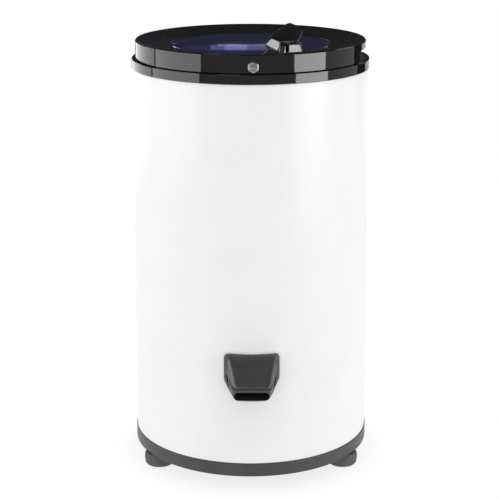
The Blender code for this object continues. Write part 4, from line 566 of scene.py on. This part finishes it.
# lid: ring, window and seal
lidParts = {
    "ring": [
        (142.5, 592.4, 0.4), (145.2, 592.4, 0.2), (145.2, 595.7, 0.2), (149.3, 595.7, 0.2), (149.3, 592.4, 0.2),
        (158.0, 592.4, 0.2), (158.0, 590.9, 0.2), (167.2, 590.9, 0.1), (167.4, 591.1, 0.1), (167.4, 615.6, 0.2),
        (166.0, 617.0, 0.2), (118.5, 610.2, 0.4), (116.6, 609.4, 0.3), (116.3, 605, 0.2), (108, 605, 0.4),
        (108, 602, 0.4), (118, 602, 1.0), (142.5, 606, 1.0),
    ],
    "window": [
        (0, 605.3, 0), (116, 605.3, 0.4), (116, 609.0, 0.3), (114.9, 609.7, 0.3), (113.4, 609.55, 0.5),
        (109.0, 608.6, 2.0), (100, 608.75, 8), (75, 609.0, 20), (45, 609.2, 20), (20, 609.3, 12), (0, 609.3, 0),
    ],
    "seal": [(145.5, 592.0, 0.3), (147.2, 591.9, 0.8), (149, 592.0, 0.3), (149, 595.4, 0.4), (145.5, 595.4, 0.4)],
    "recess": {"turn": 23, "steps": 11, "radii": (153.4, 178), "heights": (585, 606.5), "edge": 0.8},
    "pocket": ((-18.6, -161.2, 585), (32, -151, 609.2)), "mouth": ((-15.2, -161.2, 600), (32, -151, 625)),
    "boltHole": ((3.7, -180, 600.3), (3.7, -155, 600.3), 4.3),
    "hingeNotch": ((-176, -8.8, 585), (-158.2, 8.8, 613.1)),
    "pinHole": ((-163.5, -15, 611.5), (-163.5, 15, 611.5), 1.8, 24),
}


def makeLid(look):
    # the recess for the fingers is a block between two turns: x = r cos a, y = r sin a
    ring = turned("lidRing", look["ring"], 288)
    recess = look["recess"]
    turns = np.radians(np.linspace(-recess["turn"], recess["turn"], recess["steps"]))
    corners = [
        (r * math.cos(a), r * math.sin(a), z) for a in turns for r in recess["radii"] for z in recess["heights"]
    ]
    carved(ring, [
        softBlock("recessCutter", corners, recess["edge"], 96, 48), upright("latchPocket", *look["pocket"]),
        upright("latchMouth", *look["mouth"]), drill("boltHole", *look["boltHole"]),
        upright("hingeNotch", *look["hingeNotch"]), drill("pinHole", *look["pinHole"]),
    ])
    dressed(ring, "lid", "lid_moulding", ["lid_rim"])
    dressed(turned("lidWindow", look["window"], 288), "lid", "window_blue", ["lid_window"])
    dressed(turned("lidSeal", look["seal"], 192), "lid", "rubber", ["lid_seal"])


makeLid(lidParts)
print("lid made")


# latch: bolt, arm with hook, handle
boltLook = {
    "x": 3.7, "z": 600.3, "corner": 8.3,
    "face": [
        (0, -172.5), (1.6, -172.47), (3.0, -172.35), (4.0, -172.1), (4.3, -172.1), (4.7, -173.1), (5.0, -173.3),
        (5.4, -173.3), (6.6, -172.9),
    ],
    "head": [(7.6, -172.3), (8.1, -171.7), (8.3, -171.0), (8.3, -168.2), (7.9, -167.7)],
    "shank": [(4.0, -167.7), (4.0, -146), (0, -146)],
}


def makeBolt(look):
    # each row is a circle of the given radius, and on the head no wider than the hexagon:
    # radius(a) = flat / cos(a), repeated six times
    a = np.linspace(0, 2 * math.pi, 192, endpoint=False) + math.pi / 2
    flat = look["corner"] * math.cos(math.pi / 6)
    hexagon = flat / np.cos((a - math.pi / 2) % (math.pi / 3) - math.pi / 6)
    sized, depth = np.array(look["face"] + look["head"] + look["shank"]).T[:, :, None] + 0 * a
    head = slice(len(look["face"]), len(look["face"] + look["head"]))
    sized[head] = np.minimum(sized[head], hexagon)
    points = np.stack([look["x"] + sized * np.cos(a), depth, look["z"] + sized * np.sin(a)], -1)
    dressed(gridMesh("latchBolt", points * mm + middle), "lid", "bolt_chrome", ["latch_bolt"], 25)


makeBolt(boltLook)

handleLook = {
    "neck": [
        (28.5, -154.7, 637.8), (40.6, -158.0, 633.2), (40.2, -159.1, 628.8), (36.4, -160.6, 620.3), (19.2, -155.3, 628.9),
        (19.8, -154.6, 626.2), (27.5, -156.6, 619.2), (39.8, -159.2, 618.2), (28.5, -146.3, 637.8), (41, -146.3, 633.5),
        (41, -146.3, 618.2), (19.8, -146.3, 628.9), (24, -146.3, 621.5),
    ],
    "block": [
        (38.8, -158.8, 617.8), (51.0, -157.8, 617.8), (70.0, -149.4, 617.8), (38.8, -158.5, 628.6), (51.0, -157.5, 628.5),
        (66.3, -150.6, 627.9), (71.9, -145.6, 617.8), (70.6, -145.2, 626.6), (39.2, -154.6, 633.8), (64.5, -148.2, 633.4),
        (68.6, -146.2, 630.6), (38.8, -138, 617.8), (71.9, -138, 617.8), (38.8, -138, 633.8), (64.5, -138, 633.4),
        (70.6, -138, 627.6),
    ],
    "slot": [
        (47.5, -164, 614), (51.2, -164, 614), (47.5, -156, 614), (51.2, -156, 614), (47.5, -164, 629.4),
        (51.2, -164, 629.4), (47.5, -140, 629.4), (51.2, -140, 629.4),
    ],
    "sliver": [
        (44.3, -158.4, 614), (44.3, -166, 614), (47.6, -156.3, 614), (47.6, -166, 614), (46.6, -157.9, 628),
        (46.6, -166, 628), (47.6, -157.25, 628), (47.6, -166, 628),
    ],
    "paddle": (
        (53.4, 655.9), (48.2, 654.2), (40, 648.9), (35.6, 646.2), (28.8, 638.9), (29.3, 633), (33, 629), (62, 629),
        (63.3, 636.9), (68.7, 640.8), (71.5, 646), (65.4, 650.2), (58.7, 654.2),
    ),
    "lean": 25, "paddleFoot": (-150, 632), "thick": 7.5, "edge": 0.7, "paddleEdge": 0.35, "slotEdge": 0.3,
}


def makeHandle(look):
    # the paddle's front leans back with its height: y = foot + (z - foot height) tan(lean)
    neck = softBlock("neck", look["neck"], look["edge"])
    block = softBlock("block", look["block"], look["edge"])
    carved(block, [softBlock(name + "Cutter", look[name], look["slotEdge"], 64, 40) for name in ("slot", "sliver")])
    footY, footZ = look["paddleFoot"]
    lean = math.tan(math.radians(look["lean"]))
    paddle = softBlock("paddle", [
        (x, footY + (z - footZ) * lean + depth, z) for x, z in look["paddle"] for depth in (0, look["thick"])
    ], look["paddleEdge"], 256, 128)
    dressed(joined("leverHandle", [neck, block, paddle]), "lever", "lever_moulding", ["latch_handle"], 60)


armLook = {
    "centre": (3.7, 600.3), "lean": 40, "half": 4, "long": 42, "eye": 7, "hook": (16.5, 21.5, 165, 198), "spoke": 2.5,
    "front": -156.9, "back": -153.5, "edge": 0.2, "boss": (6.2, -160.8, -151.4), "hole": (4.3, -170, -140),
    "sharpTurn": 50,
}


def arc(radius, start, end, count):
    # points (radius cos a, radius sin a) between two turns in degrees
    a = np.radians(np.linspace(start, end, count))
    return np.stack([radius * np.cos(a), radius * np.sin(a)], -1)


def makeArm(look):
    # a flat outline of arcs and a bar, given its thickness backwards and its small edges by modifiers;
    # a half width w meets the circle of radius r at the turn asin(w / r) off the bar's line
    inner, outer, hookLean, hookEnd = look["hook"]
    lean, eye = look["lean"], look["eye"]
    along = np.array([math.cos(math.radians(lean)), math.sin(math.radians(lean))])
    across = np.array([along[1], -along[0]])
    tip = np.array([along * look["long"] + across * look["half"], along * look["long"] - across * look["half"]])
    barTurn = math.degrees(math.asin(look["half"] / eye))
    atEye, atInner, atOuter = (math.degrees(math.asin(look["spoke"] / radius)) for radius in (eye, inner, outer))
    outline = np.concatenate([
        tip, arc(eye, lean + barTurn, hookLean - atEye, 24), arc(outer, hookLean - atOuter, hookEnd, 16),
        arc(inner, hookEnd, hookLean + atInner, 12), arc(eye, hookLean + atEye, 360 + lean - barTurn, 48),
    ]) + look["centre"]
    points = np.stack([outline[:, 0], 0 * outline[:, 0] + look["front"], outline[:, 1]], -1) * mm + middle
    mesh = bpy.data.meshes.new("armPlate")
    mesh.from_pydata(points.tolist(), [], [range(len(points))])
    plate = bpy.data.objects.new("armPlate", mesh)
    bpy.context.collection.objects.link(plate)
    thick = plate.modifiers.new("thickness", "SOLIDIFY")
    thick.thickness, thick.offset = (look["back"] - look["front"]) * mm, -1
    softer = plate.modifiers.new("edges", "BEVEL")
    softer.width, softer.segments, softer.limit_method = look["edge"] * mm, 2, "ANGLE"
    softer.angle_limit = math.radians(look["sharpTurn"])
    keepShape(plate)
    x, z = look["centre"]
    (bossRadius, bossStart, bossEnd), (holeRadius, holeStart, holeEnd) = look["boss"], look["hole"]
    boss = drill("armBoss", (x, bossStart, z), (x, bossEnd, z), bossRadius)
    for piece in (plate, boss):
        carved(piece, [drill("eyeHole", (x, holeStart, z), (x, holeEnd, z), holeRadius)])
    # the arm takes the near-black copy of the steel: painted shade in place of the shade under the handle
    dressed(joined("latchArm", [plate, boss]), "lever", "steel", ["latch_arm"], 40, "paintedShadeSteel")


makeArm(armLook)
makeHandle(handleLook)
print("latch made")


# spout
spoutPlaces = {
    "x": 1.2,
    "hood": [
        (-35.4, -172, 194.6), (35.4, -172, 194.6), (-30.4, -176.2, 195.2), (32.6, -176.2, 195.2), (-36.6, -172, 171.9),
        (36.6, -172, 171.9), (-21.3, -211.8, 161.5), (25.6, -211.8, 161.5), (-27.6, -203.5, 161.5), (27.4, -204.5, 161.5),
        (-36.6, -172, 161.5), (36.6, -172, 161.5),
    ],
    "body": [
        (-37.4, -172, 171.5), (37.4, -172, 171.5), (-37.8, -172, 162), (36.8, -172, 163), (-28.6, -172, 140),
        (26.8, -172, 140), (-28.6, -205, 160.8), (28.4, -205, 160.8), (-24.6, -210.5, 161.8), (26, -210.5, 161.8),
        (-28.6, -205, 152.6), (28.4, -205, 152.6), (-27.4, -213, 157.6), (27.4, -213, 157.6), (-27.2, -213, 152.8),
        (27.2, -213, 152.8), (-26.2, -212.8, 149.8), (26.2, -212.8, 149.8), (-24.2, -212.5, 147.0), (24.2, -212.5, 147.0),
        (-21.0, -212, 145.1), (20.6, -212, 145.1), (0, -212.4, 143.6),
    ],
    "hoodEdge": 2.6, "bodyEdge": 2.0,
    "slot": {"half": 24.5, "low": 146.2, "top": 157.5, "front": -225, "back": -183},
    "slits": {
        "lines": (((-35.0, 170.4), (-29.4, 149.4)), ((33.6, 170.4), (29.2, 149.4))),
        "half": 1.1, "front": -230, "back": -169.4, "edge": 0.2,
    },
    "plate": {
        "half": 39.0, "low": 136.2, "top": 198.2, "bends": (161.2, 164.6), "kneeHalf": 28, "kneeZ": 139, "lowHalf": 24,
        "sag": 0.8, "front": 175, "back": 171.9, "slope": 0.9, "flat": 0.92,
    },
}


def makeSpout(look):
    x = look["x"]
    hood = softBlock("spoutHood", [(a + x, b, c) for a, b, c in look["hood"]], look["hoodEdge"], 224, 128)
    body = softBlock("spoutBody", [(a + x, b, c) for a, b, c in look["body"]], look["bodyEdge"], 224, 128)
    plate = makePlate(look["plate"], x)
    slot = look["slot"]
    tall = (slot["top"] - slot["low"]) / 2
    level = (slot["top"] + slot["low"]) / 2
    turn = np.linspace(0, 2 * math.pi, 64, endpoint=False)
    # the slot's outline is two half circles: x = +-(half - tall) + tall cos t, z = tall sin t
    wide = np.sign(np.cos(turn)) * (slot["half"] - tall) + tall * np.cos(turn)
    high = level + tall * np.sin(turn)
    rows = [(0, slot["front"]), (1, slot["front"]), (1, slot["back"]), (0, slot["back"])]
    points = np.array([np.stack([x + wide * s, 0 * turn + y, level + (high - level) * s], -1) for s, y in rows])
    carved(body, [gridMesh("slotCutter", points * mm + middle)])
    for line in look["slits"]["lines"]:
        for piece in (body, hood, plate):
            carved(piece, [makeSlit(look["slits"], x, line)])
    dressed(hood, "housing", "spout_moulding", ["spout_hood"], 60)
    dressed(joined("spoutChute", [body, plate]), "housing", "spout_moulding", ["spout_chute"], 50)


def makeSlit(look, x, line):
    # a slanting slab with straight sides, beside the spout where it stands off its plate
    half = look["half"]
    corners = [
        (x + at + wide, y, z) for at, z in line for wide in (-half, half) for y in (look["front"], look["back"])
    ]
    return softBlock("slitCutter", corners, look["edge"], 64, 40)


def makePlate(look, x):
    # an outline on the body's round: (s, z) goes to x = r sin(s / r), y = -r cos(s / r)
    half, low, top, kneeHalf, kneeZ = (look[name] for name in ("half", "low", "top", "kneeHalf", "kneeZ"))
    leftBend, rightBend = look["bends"]
    outline = softened([
        (-look["lowHalf"], low, 2), (look["lowHalf"], low, 2), (kneeHalf, kneeZ, 2), (half, rightBend, 3), (half, top, 7),
        (0, top - look["sag"], 10), (-half, top, 7), (-half, leftBend, 3), (-kneeHalf, kneeZ, 2),
    ], 8)
    centre = np.array([0, (low + top) / 2])
    back, front = look["back"], look["front"]
    rows = [(0.0, back), (1.0, back), (1.0, front - look["slope"]), (look["flat"], front), (0.0, front)]
    points = []
    for share, radius in rows:
        s, z = (centre + (outline - centre) * share).T
        points.append(np.stack([x + radius * np.sin(s / radius), -radius * np.cos(s / radius), z], -1))
    return gridMesh("plate", np.array(points) * mm + middle)


makeSpout(spoutPlaces)
print("spout made")


# inside the mouth: funnel, balance ring, drum, hub and nut; at the back: the cord's gland
funnelLook = [
    (98.2, 548, 0.8), (98.2, 557, 2), (139.2, 586.4, 1), (147.5, 586.4, 0.6), (147.5, 588.4, 0.6), (137, 588.4, 3),
    (96, 558, 6), (96, 548, 0.8),
]
balanceLook = [(101, 540.6, 1.2), (112.5, 537.2, 1.5), (114.5, 541, 1.5), (112.5, 545.5, 2), (101, 545.5, 2.5)]
hubLook = [
    (5.5, 223.7, 0.3), (46, 223.7, 0.6), (46, 226.2, 1.5), (30, 241, 14), (16, 258, 8), (10, 262, 2), (5.5, 262, 0.3),
]
nutLook = {"corner": 11, "low": 262.3, "side": 269, "top": 270, "bore": 5.5, "face": 10.2}
drumLook = {
    "floor": [
        (5.5, 222), (40, 222), (104, 222), (108, 222), (111, 223.6), (114.2, 226.2), (115.7, 229), (116, 232), (116, 248),
    ],
    "shoulder": [(116, 500), (116, 526), (115.4, 530), (114, 534), (111.5, 537), (107, 539), (103, 539.8), (100, 540)],
    "around": 36, "rows": 9, "first": 262, "pitch": 28, "hole": 3, "wall": 1.4, "radius": 116, "cellSteps": 8,
}
glandLook = {
    "height": 70,
    "profile": [
        (3.7, 160, 0.3), (9, 160, 0.4), (9, 163.5, 0.3), (13, 163.5, 0.5), (13, 168.2, 0.5), (9, 168.2, 0.3),
        (9, 170.8, 0.3), (13, 170.8, 0.5), (13, 173.5, 1.0), (6.5, 176, 0.8), (3.7, 176, 0.4),
    ],
}


def makeMouth():
    dressed(turned("splashFunnel", funnelLook, 192), "housing", "inner_moulding", ["splash_funnel"])
    dressed(turned("balanceRing", balanceLook, 192), "rotor", "inner_moulding", ["balance_ring"])


makeMouth()


def makeDrum(look):
    # plain rows turned round the axis; each hole's cell is circle + s (square - circle), rolled to
    # x = r cos a, y = r sin a, and each row of holes stands a quarter of a cell back from the one below it
    each = look["cellSteps"]
    around = look["around"] * each
    radius, pitch = look["radius"], look["pitch"]
    cell = 2 * math.pi / look["around"]
    a = np.linspace(0, 2 * math.pi, around, endpoint=False)[None, :]
    parts = []
    for name in ("floor", "shoulder"):
        r, z = np.array(look[name], float).T[:, :, None]
        parts.append(gridMesh(name, np.stack([r * np.cos(a), r * np.sin(a), z + 0 * a], -1) * mm + middle))
    side = np.arange(each) / each - 0.5
    square = np.concatenate([
        np.stack([side, 0 * side - 0.5], -1), np.stack([0 * side + 0.5, side], -1),
        np.stack([-side, 0 * side + 0.5], -1), np.stack([0 * side - 0.5, -side], -1),
    ])
    border = square * [cell * radius, pitch]
    turn = np.arctan2(border[:, 1] / pitch, border[:, 0] / (cell * radius))
    circle = look["hole"] * np.stack([np.cos(turn), np.sin(turn)], -1)
    share = np.array([0, 0.35, 1.0])[:, None, None]
    patch = circle + share * (border - circle)
    for row in range(look["rows"]):
        for i in range(look["around"]):
            at = cell * (i + 0.5 - row / 4)
            a = at + patch[..., 0] / radius
            z = look["first"] + row * pitch + patch[..., 1]
            points = np.stack([radius * np.cos(a), radius * np.sin(a), z], -1)
            parts.append(gridMesh("cell", points * mm + middle))
    drum = joined("drumWall", parts)
    form = bmesh.new()
    form.from_mesh(drum.data)
    bmesh.ops.remove_doubles(form, verts=form.verts, dist=2e-5)
    bmesh.ops.recalc_face_normals(form, faces=form.faces)
    form.to_mesh(drum.data)
    form.free()
    thick = drum.modifiers.new("wall", "SOLIDIFY")
    thick.thickness, thick.offset = look["wall"] * mm, -1
    keepShape(drum)
    dressed(drum, "rotor", "steel", ["drum"], 50)


makeDrum(drumLook)


def makeHub(profile, look):
    # each row of the nut is a circle no wider than the hexagon: radius(a) = flat / cos(a), repeated six times
    dressed(turned("drumHub", profile, 128), "rotor", "grey_moulding", ["drum_hub"])
    a = np.linspace(0, 2 * math.pi, 96, endpoint=False)
    flat = look["corner"] * math.cos(math.pi / 6)
    hexagon = flat / np.cos(a % (math.pi / 3) - math.pi / 6)
    bore, low, side, top = (look[name] for name in ("bore", "low", "side", "top"))
    beyond = 2 * look["corner"]
    rows = [(bore, low), (beyond, low), (beyond, side), (look["face"], top), (bore, top)]
    sized, z = np.array(rows, float).T[:, :, None] + 0 * a
    sized = np.minimum(sized, hexagon)
    points = np.stack([sized * np.cos(a), sized * np.sin(a), z], -1)
    nut = gridMesh("drumNut", points * mm + middle, closedRows=True)
    dressed(nut, "rotor", "zinc", ["drum_nut"], 25)


makeHub(hubLook, nutLook)


def makeGland(look):
    # the profile's radius is turned round a level line: x = r cos a, z = height + r sin a
    r, y = softened(look["profile"]).T
    a = np.linspace(0, 2 * math.pi, 96, endpoint=False)[:, None]
    points = np.stack([r * np.cos(a), y + 0 * a, look["height"] + r * np.sin(a)], -1)
    gland = gridMesh("cordGland", points * mm + middle, closedRows=True)
    dressed(gland, "housing", "black_moulding", ["cord_gland"])


makeGland(glandLook)
print("inside and back made")


# floor, world and lamps
floorLook = {
    "radius": 3.2, "height": -0.0002, "colour": 0.22, "uneven": 0.01, "rough": 0.9, "patchiness": 0.05, "scale": 3.0,
    "glow": 0.80,
}


def makeFloor(look):
    # a flat disc: x = r cos a, y = r sin a
    a = np.linspace(0, 2 * math.pi, 96, endpoint=False)[None, :]
    r = np.array([0.0, look["radius"]])[:, None]
    floor = gridMesh("floor", np.stack([r * np.cos(a), r * np.sin(a), look["height"] + 0 * r * a], -1))

    def made(tree):
        faint = tree.noise(tree.place(), look["scale"])
        darker, paler = look["colour"] - look["uneven"], look["colour"] + look["uneven"]
        shade = tree.between(faint, (darker,) * 3, (paler,) * 3)
        return {"Base Color": shade, "Roughness": look["rough"] + (faint - 0.5) * look["patchiness"]}

    constants = {"Emission Color": (1, 1, 1, 1), "Emission Strength": look["glow"], "Specular IOR Level": 0.1}
    floor.data.materials.append(newFinish("palePaper", constants, made))


makeFloor(floorLook)

worldLook = {"seen": 1.0, "soft": 0.95, "mirrored": 0.03}


def makeWorld(look):
    # what the camera sees is white; what lights the body is softer; what the gloss mirrors is dim
    world = bpy.data.worlds.new("studio")
    bpy.context.scene.world = world
    world.use_nodes = True
    tree = Tree(world.node_tree)
    seen = tree.add("ShaderNodeLightPath", out="Is Camera Ray")
    mirrored = tree.add("ShaderNodeLightPath", out="Is Glossy Ray")
    level = look["soft"] + seen * (look["seen"] - look["soft"]) + mirrored * (look["mirrored"] - look["soft"])
    back = tree.add("ShaderNodeBackground", None, {"Color": (1, 1, 1, 1), "Strength": level})
    tree.add("ShaderNodeOutputWorld", None, {"Surface": back})


makeWorld(worldLook)

# turns in degrees from the camera's side, those to the right above zero; metres; brightness;
# a mirrored lamp shows in the gloss alone, a soft one lights the colours alone
lampUsual = {"far": 2.5, "low": 0.02, "mirrored": True, "soft": False, "colour": (1, 1, 1)}
lampLook = {
    "leftNear": {"turn": (-47.6, -104.2), "top": 1.3, "bright": 3.0},
    "leftFar": {"turn": (-106.2, -160), "top": 0.6, "bright": 2.0},
    "leftHigh": {"turn": (-10, -32), "far": 2.6, "low": 1.3, "top": 1.95, "bright": 7.1},
    "front": {"turn": (-46.5, 41), "far": 3.2, "low": 0.03, "top": 0.5, "bright": 0.36},
    "rightStrip": {"turn": (41.8, 76), "top": 1.3, "bright": 6.8},
    "rightDim": {"turn": (77, 120.5), "top": 2.3, "bright": 0.6},
    "rightFar": {"turn": (141.5, 172), "top": 0.5, "bright": 0.9},
    "leftRim": {"turn": (-155, -172), "low": 1.28, "top": 1.66, "bright": 4.0, "colour": (0.75, 0.75, 1.0)},
    "rightLine": {"turn": (155, 172), "low": 1.28, "top": 1.66, "bright": 1.2},
    "rightRim": {"turn": (118, 150), "low": 1.8, "top": 2.7, "bright": 1.0},
    "leftSoft": {"turn": (-58, -98), "low": 0.1, "top": 1.5, "bright": 0.85, "mirrored": False, "soft": True},
    "rightSoft": {"turn": (58, 98), "low": 0.1, "top": 1.6, "bright": 1.0, "mirrored": False, "soft": True},
}
# dim blue panels far behind, which only the window mirrors towards the camera
glintLook = {
    "glintWide": {"turn": (182.45, 178.6), "top": 1.25, "bright": 0.42, "colour": (0.38, 0.40, 1.0)},
    "glintMiddle": {"turn": (181.6, 180.2), "top": 1.25, "bright": 0.42, "colour": (0.42, 0.44, 1.0)},
    "glintEdge": {"turn": (182.0, 178.6), "low": 1.185, "top": 1.192, "bright": 1.2, "colour": (0.7, 0.75, 1.0)},
    "glintLeft": {"turn": (184, 182.45), "top": 1.26, "bright": 0.07, "colour": (0.25, 0.3, 1.0)},
}
glintUsual = {**lampUsual, "far": 4.0, "low": 1.187}
topLamp = {**lampUsual, "place": (-0.15, 0.3, 2.6), "wide": 1.7, "deep": 1.2, "bright": 0.75, "soft": True}


def addPanel(name, place, aim, wide, tall, look):
    # an area lamp of the given brightness: its power is bright * area * pi
    lamp = bpy.data.lights.new(name, "AREA")
    lamp.shape, lamp.size, lamp.size_y = "RECTANGLE", wide, tall
    lamp.energy = look["bright"] * wide * tall * math.pi
    lamp.color = look["colour"]
    piece = bpy.data.objects.new(name, lamp)
    piece.location = place
    way = np.array(aim) - np.array(place)
    piece.rotation_euler = (math.atan2(math.hypot(way[0], way[1]), -way[2]), 0, math.atan2(-way[0], way[1]))
    piece.visible_camera, piece.visible_diffuse, piece.visible_glossy = False, look["soft"], look["mirrored"]
    bpy.context.collection.objects.link(piece)


def addStandingPanel(name, look):
    # it stands upright on a chord between its two turns and faces the body's axis
    start, end = (math.radians(turn) for turn in look["turn"])
    half, at = abs(end - start) / 2, (start + end) / 2
    far = look["far"] * math.cos(half)
    level = (look["low"] + look["top"]) / 2
    place = (far * math.sin(at), middle[1] - far * math.cos(at), level)
    wide, tall = 2 * look["far"] * math.sin(half), look["top"] - look["low"]
    addPanel(name, place, (0, middle[1], level), wide, tall, look)


for name, look in lampLook.items():
    addStandingPanel(name, {**lampUsual, **look})
for name, look in glintLook.items():
    addStandingPanel(name, {**glintUsual, **look})
x, y = topLamp["place"][:2]
addPanel("overhead", topLamp["place"], (x, y + 0.001, 0), topLamp["wide"], topLamp["deep"], topLamp)
print("studio made")
